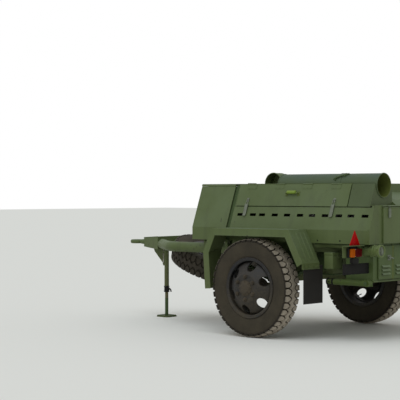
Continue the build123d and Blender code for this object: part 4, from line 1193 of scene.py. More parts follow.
trimSettings = {
    "rivetRows": (  # first, last place along the flank, height, how many
        (-1.845, -0.235, 1.2235, 28),
        (-1.845, 0.28, 1.0165, 36),
    ),
    "strip": (1.030, 1.244),
    "stripSection": ((-0.0004, 0.0003), (-0.0004, 0.003), (0.026, 0.003), (0.026, 0.0003)),
    "drains": ((-1.283, 0.923), (-1.539, 0.926), (-0.42, 0.923), (0.05, 0.923)),
    "drainRing": (  # out from the flank, radius
        (0.0002, 0.0075), (0.0022, 0.0070), (0.0022, 0.0052), (0.0006, 0.0046), (0.0006, 0.0), (0.0002, 0.0),
    ),
}


def makeFlankTrim():
    parts = []
    for first, last, height, count in trimSettings["rivetRows"]:
        axis = flankOut if height > bodySettings["shoulder"] else Vector((0, 1, 0))
        start = domeRivet("rivet", onFlank(first, height, 0), axis, 0.0036)
        step = (last - first) / (count - 1)
        parts.append(rowOf("rivet", start, [(step * place, 0, 0) for place in range(1, count)]))
    # Cover strip over the corner where the flank meets the rear wall
    rear, (low, high) = bodySettings["rear"], trimSettings["strip"]
    points = [onFlank(rear + x, low, out) for x, out in trimSettings["stripSection"]]
    parts.append(outline("strip", points, onFlank(0, high) - onFlank(0, low)))
    return joined("flankTrim", parts)


def makePaintedDrainHoles():
    # A black rim round a black disc, painted shade for the hole
    ring, half = trimSettings["drainRing"], bodySettings["half"]
    holes = [
        turned("drain", ring, (x, half, height), (0, 1, 0), (0, 0, 1), 16)
        for x, height in trimSettings["drains"]
    ]
    return joined("drains", holes)


bothSides("flankTrim", makeFlankTrim(), "trailer", "body")
bothSides("drains", makePaintedDrainHoles(), "trailer", "black")

# Mudguards: pressed ribs, rolled edges, and the clamp bars of the flaps

guardSettings = {
    "line": (
        (-0.113, 0.438), (-0.088, 0.796), (-0.195, 1.024), (-1.145, 1.024), (-1.307, 0.722), (-1.307, 0.667),
    ),
    "outer": 1.020,
    "lip": 0.065,
    "ribs": (0.815, 0.875, 0.935),
    "ribRadius": 0.007,
    "hem": (0.768, 1.017),
    "bolts": (0.800, 0.860, 0.920, 0.980),
    "boltHeight": 0.695,
    "rivets": (-0.30, -0.50, -0.70, -0.90, -1.08),
    "rivetPlace": 0.785,
    "stay": ((-0.098, 0.768, 0.800), (-0.098, 0.768, 0.905), (-0.101, 0.880, 0.800)),
    "flap": (-1.3030, 0.712, 0.994, 0.690),  # rear face, inner, outer, top
}


def insetLine(points, reach):
    # The line moved inward by the reach, with mitred corners
    moved = []
    for place, (x, z) in enumerate(points):
        normals = []
        for one, other in ((place - 1, place), (place, place + 1)):
            if one >= 0 and other < len(points):
                (startX, startZ), (endX, endZ) = points[one], points[other]
                run = Vector((endX - startX, endZ - startZ)).normalized()
                normals.append(Vector((run.y, -run.x)))
        normal = sum(normals, Vector((0, 0))).normalized()
        shift = normal * (reach / max(0.3, normal.dot(normals[0])))
        moved.append((x - shift.x, z - shift.y))
    return moved


def makeGuardTrim():
    line, outer = guardSettings["line"], guardSettings["outer"]
    inside = insetLine(line[:-1], guardSettings["lip"])
    parts = [
        rod("edge", (a[0], outer - 0.003, a[1]), (b[0], outer - 0.003, b[1]), 0.0045, 8)
        for a, b in zip(inside, inside[1:])
    ]
    rear, foot = (Vector((x, 0, z)) for x, z in line[3:5])
    down = (foot - rear).normalized()
    for across in guardSettings["ribs"]:
        start = rear + down * 0.03 + Vector((0, across, 0))
        end = foot - down * 0.03 + Vector((0, across, 0))
        rib = rod("rib", start, end, guardSettings["ribRadius"], 10)
        parts.append(eased(rib, 0.003, 2))
    tailX, tailZ = line[-1]
    ends = [(tailX - 0.001, across, tailZ + 0.003) for across in guardSettings["hem"]]
    hem = rod("hem", *ends, 0.005, 8)
    side = Vector((0, outer - 0.002, 0))
    rearEdge = rod("hem", rear + side, foot + side, 0.004, 8)
    base = (tailX - 0.0003, guardSettings["boltHeight"])
    bolts = boltRow("bolt", base, (-1, 0, 0), 0.014, 0.006, guardSettings["bolts"])
    top, place = line[2][1], guardSettings["rivetPlace"]
    rivets = [domeRivet("rivet", (x, place, top), (0, 0, 1), 0.005) for x in guardSettings["rivets"]]
    # Stay between the body and the front leaf
    stay = outline("stay", [Vector(corner) for corner in guardSettings["stay"]], (-0.005, 0, 0))
    return joined("guardTrim", parts + [hem, rearEdge, stay] + bolts + rivets)


def makeFlapBar():
    x, inner, outer, height = guardSettings["flap"]
    low, high = (x + 0.0045, inner + 0.002, height - 0.030), (x + 0.0085, outer - 0.002, height)
    bar = softBlock("bar", low, high, 0.001)
    nuts = boltRow("nut", (x + 0.0084, height - 0.014), (1, 0, 0), 0.013, 0.006, guardSettings["bolts"])
    return joined("flapBar", [bar] + nuts)


bothSides("guardTrim", makeGuardTrim(), "trailer", "body")
bothSides("flapBar", makeFlapBar(), "trailer", "body")
print("mudguards made")

# Lamps, reflectors, plate and the capped pipe at the left rear corner

lampSettings = {
    "place": 0.877,
    "width": 0.180,
    "low": 0.786,
    "height": 0.086,
    "front": -1.7592,
    "housingDepth": 0.026,
    "cable": ((-0.001, -0.03, 0.03), (0.03, -0.03, 0.02), (0.05, -0.06, 0.07), (0.05, -0.13, 0.085)),
    "lensDepth": 0.020,
    "amberShare": 0.42,
    "triangle": (0.158, 0.8943, -1.7822),  # side, foot, face it stands at
    "plate": (0.635, 1.020, 0.636, 0.732, -1.7635),  # inner, outer, low, high, face
}
lampBack = lampSettings["front"] - lampSettings["housingDepth"]
lensFace = lampBack - lampSettings["lensDepth"]
parting = lampSettings["place"] + lampSettings["width"] * (0.5 - lampSettings["amberShare"])


def makeLampHousing():
    middle, half, front = lampSettings["place"], lampSettings["width"] / 2, lampSettings["front"]
    low, high = lampSettings["low"], lampSettings["low"] + lampSettings["height"]
    shell = softBlock("housing", (lampBack, middle - half, low), (front, middle + half, high), 0.010, 3)
    footLow = (lampBack + 0.006, middle - 0.05, high - 0.004)
    foot = softBlock("foot", footLow, (front, middle + 0.05, high + 0.018), 0.002)
    cable = bentRod("cable", spots((front, middle, low), lampSettings["cable"]), 0.004, 2)
    return joined("housing", [shell, foot, cable])


def makeLens(first, last):
    # A ribbed lens over part of the lamp's width
    low = lampSettings["low"] + 0.005
    high = low + lampSettings["height"] - 0.010
    glass = softBlock("lens", (lensFace, first, low), (lampBack + 0.002, last, high), 0.007, 3)
    count = int((last - first) / 0.009)
    step = (last - first - 0.014) / count
    x, y = lensFace - 0.0002, first + 0.007
    rib = rod("lens", (x, y, low + 0.008), (x, y, high - 0.008), 0.0022, 6)
    ribs = rowOf("lens", rib, [(0, step * place, 0) for place in range(1, count + 1)])
    return joined("lens", [glass, ribs])


def makeLensScrews():
    low, high = lampSettings["low"] + 0.012, lampSettings["low"] + lampSettings["height"] - 0.012
    screws = [
        domeRivet("screw", (lensFace + 0.001, parting, height), (-1, 0, 0), 0.0042)
        for height in (low, high)
    ]
    return joined("screws", screws)


def makeReflector():
    side, foot, face = lampSettings["triangle"]
    middle = lampSettings["place"]
    rise = side * math.sqrt(3) / 2

    def corners(inset, x):
        # Corners of the triangle moved in by the inset
        reach = side / 2 - inset * math.sqrt(3)
        return [
            Vector((x, middle - reach, foot + inset)),
            Vector((x, middle + reach, foot + inset)),
            Vector((x, middle, foot + rise - 2 * inset)),
        ]
    back = eased(outline("reflector", corners(0.0005, face), (-0.0070, 0, 0)), 0.003, 2)
    prism = eased(outline("reflector", corners(0.010, face - 0.0068), (-0.0028, 0, 0)), 0.0012, 2)
    ridges = []
    x = face - 0.0096
    for level in range(1, 7):
        height = foot + 0.012 + level * rise / 9
        reach = (foot + rise - 0.02 - height) / math.sqrt(3) - 0.006
        if reach > 0.006:
            ridge = rod("reflector", (x, middle - reach, height), (x, middle + reach, height), 0.0014, 6)
            ridges.append(ridge)
    return joined("reflector", [back, prism] + ridges)


def makePlateTrim():
    inner, outer, low, high, face = lampSettings["plate"]
    middle, x = lampSettings["place"], face - 0.0006
    edges = (  # across, from and to; height, from and to
        (inner + 0.004, outer - 0.004, low + 0.003, low + 0.003),
        (inner + 0.004, outer - 0.004, high - 0.003, high - 0.003),
        (inner + 0.003, inner + 0.003, low + 0.004, high - 0.004),
        (outer - 0.003, outer - 0.003, low + 0.004, high - 0.004),
    )
    rim = [rod("rim", (x, a, c), (x, b, d), 0.0028, 8) for a, b, c, d in edges]
    screws = [
        domeRivet("screw", (face, across, height), (-1, 0, 0), 0.005)
        for across in (inner + 0.022, outer - 0.022) for height in (low + 0.020, high - 0.020)
    ]
    start, end = (face - 0.038, middle - 0.046, high + 0.004), (face + 0.001, middle + 0.046, high + 0.050)
    lamp = softBlock("plateLamp", start, end, 0.006, 2)
    start, end = (face - 0.034, middle - 0.036, high - 0.004), (face - 0.006, middle + 0.036, high + 0.006)
    lampGlass = softBlock("plateLamp", start, end, 0.002)
    return joined("plateTrim", rim + screws + [lamp, lampGlass])


pipeSettings = {
    "middle": (0.687, 0.842),  # across, height
    "rear": -1.9450,
    "profile": (  # forward of the rear end, distance from the middle
        (0.1815, 0.0), (0.1815, 0.0450), (0.1110, 0.0450), (0.1105, 0.0530), (0.0955, 0.0535),
        (0.0945, 0.0455), (0.0790, 0.0455), (0.0780, 0.0535), (0.0635, 0.0530), (0.0630, 0.0450),
        (0.0310, 0.0450), (0.0300, 0.0540), (0.0280, 0.0570), (0.0030, 0.0570), (0.0, 0.0545),
        (0.0, 0.0470), (0.0025, 0.0445), (0.0120, 0.0425), (0.0150, 0.0300), (0.0160, 0.0),
    ),
    "earTurn": 0.4,
    "earReach": 0.054,
    "ring": (0.0865, 0.0465),  # forward of the rear end, radius
    "plug": (  # forward of the rear end, distance from the middle
        (0.0158, 0.0), (0.0148, 0.0290), (0.0118, 0.0400), (0.0090, 0.0400), (0.0100, 0.0270),
        (0.0115, 0.0120), (0.0080, 0.0080), (0.0080, 0.0),
    ),
}


def makePipe():
    rear, (y, z) = pipeSettings["rear"], pipeSettings["middle"]
    turn, reach = pipeSettings["earTurn"], pipeSettings["earReach"]
    pipe = turned("pipe", pipeSettings["profile"], (rear, y, z), (1, 0, 0), (0, 0, 1), 48)
    ears = []
    for angle in (turn, turn + math.pi):
        out = Vector((0, math.cos(angle), math.sin(angle)))
        spot = Vector((rear + 0.016, y + math.cos(angle) * reach, z + math.sin(angle) * reach))
        ears.append(eased(rod("ear", spot, spot + out * 0.014, 0.010, 16), 0.003, 2))
    place, radius = pipeSettings["ring"]
    ring = rolledBead("ring", (rear + place, y, z), (1, 0, 0), radius, 0.003, 40)
    return joined("pipe", [pipe, ring] + ears)


def makePipeCap():
    # The pressed plug inside the cap, with its cross bar
    rear, (y, z) = pipeSettings["rear"], pipeSettings["middle"]
    plug = turned("plug", pipeSettings["plug"], (rear, y, z), (1, 0, 0), (0, 0, 1), 36)
    low, high = (rear + 0.0030, y - 0.004, z - 0.036), (rear + 0.0110, y + 0.004, z + 0.036)
    return joined("plug", [plug, softBlock("bar", low, high, 0.0015, 2)])


railSettings = {
    "low": (-1.447, 0.590, 0.667),
    "high": (-1.345, 0.750, 0.818),
    "lid": 0.030,
    "hasp": (0.655, 0.683),
    "staple": ((0.002, -0.008), (0.012, -0.008), (0.015, 0.0), (0.012, 0.008), (0.002, 0.008)),
    "staplePlace": 0.669,
}


def makeRailBox():
    low, high = Vector(railSettings["low"]), Vector(railSettings["high"])
    seam, hingeY = high.z - railSettings["lid"], low.y + 0.012
    start, end = low + Vector((0.0015, 0, 0)), (high.x - 0.0015, high.y - 0.002, seam + 0.004)
    tub = softBlock("box", start, end, 0.004, 2)
    cover = softBlock("box", (low.x, low.y, seam), high, 0.005, 2)
    hinge = rod("box", (low.x + 0.01, hingeY, seam), (high.x - 0.01, hingeY, seam), 0.005, 8)
    near, far = railSettings["hasp"]
    start, end = (low.x - 0.0035, near, high.z - 0.062), (low.x + 0.001, far, high.z - 0.008)
    hasp = softBlock("box", start, end, 0.0015)
    place = railSettings["staplePlace"]
    path = [Vector((low.x - out, place + side, high.z - 0.045)) for out, side in railSettings["staple"]]
    staple = bentRod("box", path, 0.002, 2)
    feet = [
        softBlock("box", (x, low.y - 0.004, low.z - 0.012), (x + 0.02, high.y - 0.02, low.z + 0.001), 0.002)
        for x in (low.x + 0.012, high.x - 0.032)
    ]
    return joined("railBox", [tub, cover, hinge, hasp, staple] + feet)


housing = makeLampHousing()
otherHousing = mirrored(housing, "housing")
dress(joined("lampHousings", [housing, otherHousing]), "trailer", "black", ["rear_lights"])
lampIn, lampOut = (lampSettings["place"] + side * (lampSettings["width"] / 2 - 0.004) for side in (-1, 1))
bothSides("redLens", makeLens(lampIn, parting - 0.0008), "trailer", "red")
bothSides("amberLens", makeLens(parting + 0.0008, lampOut - 0.010), "trailer", "amber")
bothSides("reflector", makeReflector(), "trailer", "reflector")
bothSides("lensScrews", makeLensScrews(), "trailer", "steel")
dress(makePlateTrim(), "trailer", "black")
dress(makePipe(), "trailer", "pipe", ["rear_pipe"])
dress(makePipeCap(), "trailer", "latch")
dress(makeRailBox(), "trailer", "body", ["rail_box"])
print("lamps and pipe made")

# Drawbar: towing eye, weld beads, straps over the tubes

drawbarSettings = {
    "height": 0.818,
    "headRear": 1.355,
    "headFront": 1.705,
    "rearHalf": (0.189, 0.068),  # of the head's rear end, across and up
    "frontHalf": (0.0545, 0.0485),
    "eyePlace": 1.870,
    "eyeSection": (  # up from the middle, distance from the eye's middle
        (-0.016, 0.0400), (0.016, 0.0400), (0.0205, 0.0435), (0.0220, 0.0500), (0.0205, 0.0640),
        (0.0120, 0.0725), (0.0, 0.0750), (-0.0120, 0.0725), (-0.0205, 0.0640), (-0.0220, 0.0500),
        (-0.0205, 0.0435),
    ),
    "neck": (  # forward of the head's front, radius
        (0.0, 0.0), (0.0, 0.0340), (0.010, 0.0340), (0.012, 0.0285), (0.060, 0.0280), (0.092, 0.0250),
        (0.118, 0.0215), (0.118, 0.0),
    ),
    "tubeHeight": 0.807,
    "tubeRadius": 0.052,
    "tubeSide": 0.560,
    "straps": (-0.025, 0.255),
    "strapHalf": 0.02,
    "strapTop": 0.898,
    "strapBolt": 0.880,
}


def makeTowEye():
    height, front = drawbarSettings["height"], drawbarSettings["headFront"]
    middle = (drawbarSettings["eyePlace"], 0, height)
    ring = turned("towEye", drawbarSettings["eyeSection"], middle, (0, 0, 1), (1, 0, 0), 64)
    neck = turned("towEye", drawbarSettings["neck"], (front, 0, height), (1, 0, 0), (0, 0, 1), 32)
    nut = eased(rod("towEye", (front + 0.0005, 0, height), (front + 0.022, 0, height), 0.042, 6), 0.003, 1)
    return joined("towEye", [ring, neck, nut])


def makeHeadWelds():
    # Welds along the head's edges and round the tubes
    rear, front, height = drawbarSettings["headRear"], drawbarSettings["headFront"], drawbarSettings["height"]
    (rearAcross, rearUp), (frontAcross, frontUp) = drawbarSettings["rearHalf"], drawbarSettings["frontHalf"]
    parts = []
    for up in (1, -1):
        for side in (1, -1):
            start = (rear + 0.002, side * rearAcross, height + up * rearUp)
            end = (front - 0.002, side * frontAcross, height + up * frontUp)
            parts.append(rod("weld", start, end, 0.0042, 6))
    for side in (1, -1):
        spot = (rear - 0.003, side * 0.1240, drawbarSettings["tubeHeight"])
        parts.append(rolledBead("weld", spot, (0.80, -side * 0.60, 0), 0.0535, 0.0050, 28))
    for level in (height + 0.044, height - 0.044):
        parts.append(rod("weld", (front + 0.001, 0.050, level), (front + 0.001, -0.050, level), 0.004, 6))
    return joined("welds", parts)


def makeTubeStraps():
    # Flat straps over the drawbar tubes, bolted up to the body's nose
    middle, height = drawbarSettings["tubeSide"], drawbarSettings["tubeHeight"]
    radius, half = drawbarSettings["tubeRadius"], drawbarSettings["strapHalf"]
    arcs = ((radius + 0.0003, range(-180, 1, 15)), (radius + 0.006, range(0, -181, -15)))
    section = [
        (middle + math.cos(math.radians(turn)) * reach, height + math.sin(math.radians(turn)) * reach)
        for reach, turns in arcs for turn in turns
    ]
    parts = []
    for x in drawbarSettings["straps"]:
        parts.append(outline("strap", [Vector((x - half, y, z)) for y, z in section], (2 * half, 0, 0)))
        for side in (1, -1):
            place = middle + side * (radius + 0.0030)
            high = (x + half, place + 0.003, drawbarSettings["strapTop"])
            parts.append(block("strap", (x - half, place - 0.003, height - 0.004), high))
            spot = (x, middle + side * (radius + 0.0058), drawbarSettings["strapBolt"])
            parts.append(hexNut("nut", spot, (0, side, 0), 0.018, 0.008))
    return joined("straps", parts)


dress(makeTowEye(), "trailer", "frame", ["tow_eye"])
dress(makeHeadWelds(), "trailer", "frame")
bothSides("tubeStraps", makeTubeStraps(), "trailer", "frame")

# Landing jack: bare thread of the screw, the collar with its lock lever, the dished foot

jackSettings = {
    "place": 1.405,
    "screwPlace": 1.449,
    "screwRadius": 0.0093,
    "threads": ((0.592, 0.698), (0.7155, 0.742)),
    "pitch": 0.0065,
    "collar": (0.2725, 0.0305, 0.066, 0.0255),  # low end, radius, height, bore's radius
    "lever": ((-0.026, 0, 0.034), (-0.045, 0, 0.036), (-0.066, 0.006, 0.030), (-0.078, 0.010, 0.006)),
    "lockPin": ((0, -0.030, 0.040), (0, -0.052, 0.040), (0, -0.056, 0.025)),
    "shoe": (0.0125, 0.205, 0.0185),  # low, high, radius
    "legRadius": 0.0181,
    "footHalf": 0.085,
    "footEdge": (0.72, 0.97),  # of its half: where a corner is cut, and the edge's middle
    "footHeight": 0.0135,
}


def makeScrewThread():
    threads = []
    pitch, radius = jackSettings["pitch"], jackSettings["screwRadius"]
    for low, high in jackSettings["threads"]:
        profile = [(0.0, 0.0), (0.0, radius)]
        for turn in range(int((high - low) / pitch)):
            profile += [(turn * pitch + 0.001, radius), (turn * pitch + pitch / 2, radius + 0.0022)]
        profile += [(high - low, radius), (high - low, 0.0)]
        spot = (jackSettings["screwPlace"], 0, low)
        threads.append(turned("thread", profile, spot, (0, 0, 1), (1, 0, 0), 16))
    return joined("thread", threads)


def makeJackCollar():
    x = jackSettings["place"]
    low, radius, height, bore = jackSettings["collar"]
    profile = (
        (0.0, bore), (0.0, radius), (0.012, radius), (0.015, radius - 0.003),
        (height - 0.015, radius - 0.003), (height - 0.012, radius), (height, radius - 0.001), (height, bore),
    )
    collar = turned("collar", profile, (x, 0, low), (0, 0, 1), (1, 0, 0), 32)
    lever = bentRod("collar", spots((x, 0, low), jackSettings["lever"]), 0.0075)
    boss = eased(rod("collar", (x - 0.024, 0, low + 0.034), (x - 0.040, 0, low + 0.034), 0.013, 16), 0.002, 1)
    pin = bentRod("collar", spots((x, 0, low), jackSettings["lockPin"]), 0.004)
    return joined("collar", [collar, lever, boss, pin])


def makeLegShoe():
    # Dark lower part of the leg; it still slides into the tube
    low, high, radius = jackSettings["shoe"]
    inner = jackSettings["legRadius"]
    profile = ((low, inner), (low, radius), (high - 0.002, radius), (high, inner))
    return turned("shoe", profile, (jackSettings["place"], 0, 0), (0, 0, 1), (1, 0, 0), 32)


def makeJackFoot():
    # Rolled edge with cut corners, and the weld round the leg
    x, half, height = jackSettings["place"], jackSettings["footHalf"], jackSettings["footHeight"]
    cut, far = jackSettings["footEdge"]
    around = (
        (-cut, -far), (cut, -far), (far, -cut), (far, cut),
        (cut, far), (-cut, far), (-far, cut), (-far, -cut),
    )
    edge = closedRods("foot", [(x + half * ahead, half * side, height) for ahead, side in around], 0.0045)
    weld = rolledBead("foot", (x, 0, height), (0, 0, 1), 0.0195, 0.0035, 24)
    return joined("foot", edge + [weld])


dress(makeScrewThread(), "trailer", "steel")
dress(makeJackCollar(), "trailer", "black")
dress(makeLegShoe(), "jack_leg", "shadedGreen")
dress(makeJackFoot(), "jack_leg", "shadedGreen")
print("drawbar made")

# Spare wheel: the clamp below it, with its wing nut and ribs

clampSettings = {
    "face": 0.1567,
    "washer": ((0.0, 0.0185), (0.0, 0.040), (0.004, 0.040), (0.0055, 0.037), (0.0055, 0.0185)),
    "ribs": (0.040, 0.098),
}


def makeClampNut():
    face, across = spareCentre + spareDown * clampSettings["face"], Vector((0, 1, 0))
    ahead = across.cross(spareDown)
    washer = turned("clamp", clampSettings["washer"], face, spareDown, across, 32)
    nut = rod("clamp", face + spareDown * 0.0055, face + spareDown * 0.024, 0.033, 6)
    parts = [washer, eased(nut, 0.002, 1)]
    for side in (1, -1):
        start = face + spareDown * 0.015 + across * side * 0.026
        end = face + spareDown * 0.032 + across * side * 0.075
        parts.append(rod("clamp", start, end, 0.007, 10))
    near, far = clampSettings["ribs"]
    for step in range(4):
        turn = math.pi / 4 + step * math.pi / 2
        out = across * math.cos(turn) + ahead * math.sin(turn)
        parts.append(rod("clamp", face + out * near, face + out * far, 0.0045, 8))
    return joined("clamp", parts)


dress(makeClampNut(), "trailer", "frame")

# Running gear: spring leaves with their bolts, clamps at the axle

springSettings = {
    "leaves": 5,
    "side": 0.560,
    "half": 0.030,
    "leaf": 0.010,
    "eyeHeight": 0.6845,
    "reach": 0.445,
    "foot": 0.5025,
    "seat": 0.090,
    "shorter": 0.085,
    "axlePlace": -0.645,
    "clip": 0.235,
    "bolt": 0.047,
    "boltFoot": 0.415,
    "padLow": 0.4225,
    "padHigh": 0.4323,
}


def makeSpringLeaves(rise):
    leaves = []
    side, half, leaf = springSettings["side"], springSettings["half"], springSettings["leaf"]
    middle, foot, seat = springSettings["axlePlace"], springSettings["foot"], springSettings["seat"]
    for place in range(springSettings["leaves"]):
        reach = springSettings["reach"] - place * springSettings["shorter"]
        base = foot + (springSettings["leaves"] - 1 - place) * leaf
        tip = base + leaf + rise * (reach - seat)
        top = [(-reach, tip), (-seat, base + leaf), (seat, base + leaf), (reach, tip)]
        low = [(along, up - leaf * 0.93) for along, up in reversed(top)]
        points = [Vector((middle + along, side - half, up)) for along, up in top + low]
        leaves.append(eased(outline("leaf", points, (0, 2 * half, 0)), 0.0015, 1))
    return leaves


def makeSpringBolt(x):
    # A clamp bolt over the leaves, with a nut below the pad on either side
    side, half, foot = springSettings["side"], springSettings["half"], springSettings["foot"]
    out = half + 0.010
    arm = [(-out, springSettings["boltFoot"]), (-out, foot + 0.052), (-half - 0.004, foot + 0.066)]
    line = arm + [(0, foot + 0.069)] + [(-across, height) for across, height in arm[::-1]]
    parts = [bentRod("bolt", [Vector((x, side + across, height)) for across, height in line], 0.007)]
    for way in (1, -1):
        spot = (x, side + way * out, springSettings["padLow"])
        parts.append(hexNut("nut", spot, (0, 0, -1), 0.022, 0.009))
    return parts


def makeSpring():
    side, half = springSettings["side"], springSettings["half"]
    middle, foot, seat = springSettings["axlePlace"], springSettings["foot"], springSettings["seat"]
    height = springSettings["eyeHeight"] - 0.006
    stack = springSettings["leaves"] * springSettings["leaf"]
    rise = (springSettings["eyeHeight"] - foot - stack) / (springSettings["reach"] - seat)
    parts = makeSpringLeaves(rise)
    for end in (1, -1):
        eye = middle + end * springSettings["reach"]
        near, far = side - half - 0.004, side + half + 0.004
        parts.append(rod("eye", (eye, near, height), (eye, far, height), 0.018, 20))
        for way in (1, -1):
            spot = (eye, side + way * (half + 0.003), height)
            parts.append(hexNut("nut", spot, (0, way, 0), 0.024, 0.010))
        clip = middle + end * springSettings["clip"]
        clipFoot = foot + 0.020 + rise * (springSettings["clip"] - seat)
        low, high = (clip - 0.012, near, clipFoot - 0.008), (clip + 0.012, far, clipFoot + 0.036)
        parts.append(softBlock("clip", low, high, 0.002))
        parts += makeSpringBolt(middle + end * springSettings["bolt"])
    low = (middle - 0.070, side - half - 0.022, springSettings["padLow"])
    high = (middle + 0.070, side + half + 0.022, springSettings["padHigh"])
    parts.append(softBlock("pad", low, high, 0.002))
    low, high = (middle - 0.062, side - half, foot + 0.0502), (middle + 0.062, side + half, foot + 0.062)
    parts.append(softBlock("pad", low, high, 0.002))
    return joined("spring", parts)


spring = makeSpring()
otherSpring = mirrored(spring, "spring")
dress(joined("springs", [spring, otherSpring]), "trailer", "shadedGreen", ["leaf_springs"])

# Rear props with their feet and pins, the cauldrons' lids, the firebox's edges and doors

propSettings = {
    "hinge": (-1.780, 0.547),
    "side": 0.670,
    "foot": -1.340,
    "disc": ((0.0, 0.0), (0.0, 0.030), (0.004, 0.034), (0.009, 0.034), (0.009, 0.0)),
    "collar": ((0.0, 0.0282), (0.0, 0.0315), (0.016, 0.0315), (0.018, 0.0282)),
    "pinHead": ((0.0, 0.0), (0.0, 0.017), (0.005, 0.017), (0.009, 0.012), (0.009, 0.0)),
}


def makePropFoot():
    side, foot, height = propSettings["side"], propSettings["foot"], propSettings["hinge"][1]
    disc = turned("foot", propSettings["disc"], (foot - 0.0005, side, height), (1, 0, 0), (0, 0, 1), 28)
    collar = turned("foot", propSettings["collar"], (foot - 0.066, side, height), (1, 0, 0), (0, 0, 1), 28)
    x = foot - 0.022
    pin = rod("foot", (x, side - 0.034, height), (x, side + 0.034, height), 0.006, 12)
    return joined("propFoot", [disc, collar, pin])


def makePropPin():
    x, height = propSettings["hinge"]
    spot = (x, propSettings["side"] + 0.0385, height)
    return turned("pin", propSettings["pinHead"], spot, (0, 1, 0), (0, 0, 1), 20)


cauldronSettings = {
    "places": (-1.205, -0.705),
    "lidHeight": 1.280,
    "lid": (  # over the lid's seat, radius
        (-0.006, 0.0), (-0.006, 0.2185), (0.0, 0.2235), (0.010, 0.2235), (0.014, 0.2170), (0.024, 0.190),
        (0.038, 0.120), (0.044, 0.040), (0.045, 0.0),
    ),
    "beads": ((0.150, 0.0335), (0.185, 0.0255)),  # radius, over the lid's seat
    "grip": (  # ahead of the middle, over the lid's seat
        (-0.055, 0.035), (-0.055, 0.065), (-0.043, 0.075), (0.0, 0.077), (0.043, 0.075), (0.055, 0.065),
        (0.055, 0.035),
    ),
    "clampTurn": 0.6,
}


def makeCauldronLids():
    lids = []
    height, turn = cauldronSettings["lidHeight"], cauldronSettings["clampTurn"]
    for x in cauldronSettings["places"]:
        lids.append(turned("lid", cauldronSettings["lid"], (x, 0, height), (0, 0, 1), (1, 0, 0), 56))
        for radius, rise in cauldronSettings["beads"]:
            lids.append(rolledBead("lid", (x, 0, height + rise), (0, 0, 1), radius, 0.003, 48))
        path = [Vector((x + ahead, 0, height + up)) for ahead, up in cauldronSettings["grip"]]
        lids.append(bentRod("lid", path, 0.007))
        for angle in (turn, turn + math.pi):
            out = Vector((math.cos(angle), math.sin(angle), 0))
            spot = Vector((x, 0, height + 0.007)) + out * 0.222
            clamp = rod("lid", spot - Vector((0, 0, 0.03)), spot + Vector((0, 0, 0.012)), 0.010, 10)
            lids.append(eased(clamp, 0.002, 1))
    return joined("cauldronLids", lids)


burnerSettings = {
    "half": 0.400,
    "front": -0.425,
    "rear": -1.185,
    "rims": (0.589, 0.842),
    "doors": (-1.005, -0.625),
    "doorHalf": 0.12,
    "doorHeights": (0.630, 0.800),
    "hinges": (0.655, 0.775),
    "handle": ((0.003, 0.690), (0.018, 0.690), (0.020, 0.715), (0.018, 0.740), (0.003, 0.740)),
}


def makeBurnerTrim():
    half, front, rear = burnerSettings["half"], burnerSettings["front"], burnerSettings["rear"]
    wide, (low, high) = burnerSettings["doorHalf"], burnerSettings["doorHeights"]
    parts = []
    for height in burnerSettings["rims"]:
        corners = ((front, half, height), (front, -half, height), (rear, -half, height), (rear, half, height))
        parts += closedRods("rim", corners, 0.006)
    for x in burnerSettings["doors"]:
        for side in (1, -1):
            near, far = sorted((side * (half + 0.0002), side * (half + 0.005)))
            parts.append(softBlock("door", (x - wide, near, low), (x + wide, far, high), 0.003, 2))
            hingeX, hingeY = x - wide - 0.002, side * (half + 0.006)
            for up in burnerSettings["hinges"]:
                ends = [(hingeX, hingeY, up + rise) for rise in (-0.014, 0.014)]
                parts.append(rod("door", *ends, 0.006, 10))
            path = [Vector((x + 0.09, side * (half + out), z)) for out, z in burnerSettings["handle"]]
            parts.append(bentRod("door", path, 0.004, 2))
    return joined("burnerTrim", parts)


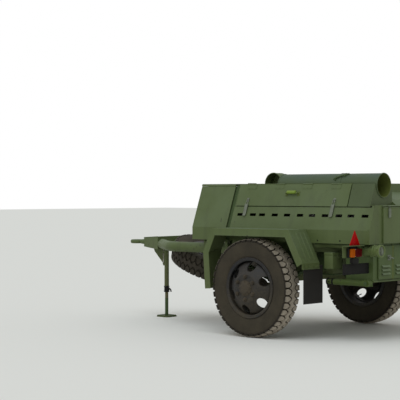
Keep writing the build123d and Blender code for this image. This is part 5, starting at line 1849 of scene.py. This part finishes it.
bothSides("propFoot", makePropFoot(), "prop_left", "black", "prop_right")
bothSides("propPin", makePropPin(), "trailer", "shadedGreen")
dress(makeCauldronLids(), "trailer", "cauldron")
dress(makeBurnerTrim(), "trailer", "shadedGreen")
print("running gear made")

# Light and floor


def makeStage():
    world = bpy.data.worlds.new("softSky")
    bpy.context.scene.world = world
    world.use_nodes = True
    nodes, links = world.node_tree.nodes, world.node_tree.links
    nodes.clear()
    rays = nodes.new("ShaderNodeLightPath")
    sky = nodes.new("ShaderNodeBackground")
    sky.inputs["Color"].default_value = (*viewSettings["skyColor"], 1)
    sky.inputs["Strength"].default_value = viewSettings["skyStrength"]
    white = nodes.new("ShaderNodeBackground")
    white.inputs["Color"].default_value = (1, 1, 1, 1)
    shown = nodes.new("ShaderNodeMath")
    shown.operation = "MAXIMUM"
    shiny = nodes.new("ShaderNodeMath")
    shiny.operation = "MAXIMUM"
    links.new(rays.outputs["Is Glossy Ray"], shiny.inputs[0])
    links.new(rays.outputs["Is Transmission Ray"], shiny.inputs[1])
    links.new(rays.outputs["Is Camera Ray"], shown.inputs[0])
    links.new(shiny.outputs[0], shown.inputs[1])
    mixed = nodes.new("ShaderNodeMixShader")
    links.new(shown.outputs[0], mixed.inputs[0])
    links.new(sky.outputs[0], mixed.inputs[1])
    links.new(white.outputs[0], mixed.inputs[2])
    output = nodes.new("ShaderNodeOutputWorld")
    links.new(mixed.outputs[0], output.inputs[0])
    sunData = bpy.data.lights.new("softSun", "SUN")
    sunData.energy = viewSettings["sunPower"]
    sunData.color = viewSettings["sunColor"]
    sunData.angle = viewSettings["sunAngle"]
    sun = bpy.data.objects.new("softSun", sunData)
    bpy.context.scene.collection.objects.link(sun)
    sun.rotation_euler = Vector(viewSettings["sunFrom"]).to_track_quat("Z", "Y").to_euler()
    bpy.ops.mesh.primitive_plane_add(size=viewSettings["floorSize"])
    floor = bpy.context.object
    floor.name = "floor"
    ground = Finish("paleFloor")
    floor.data.materials.append(ground.set(color=viewSettings["floorColor"], rough=0.9, specular=0.0))


makeStage()
print("stage made")
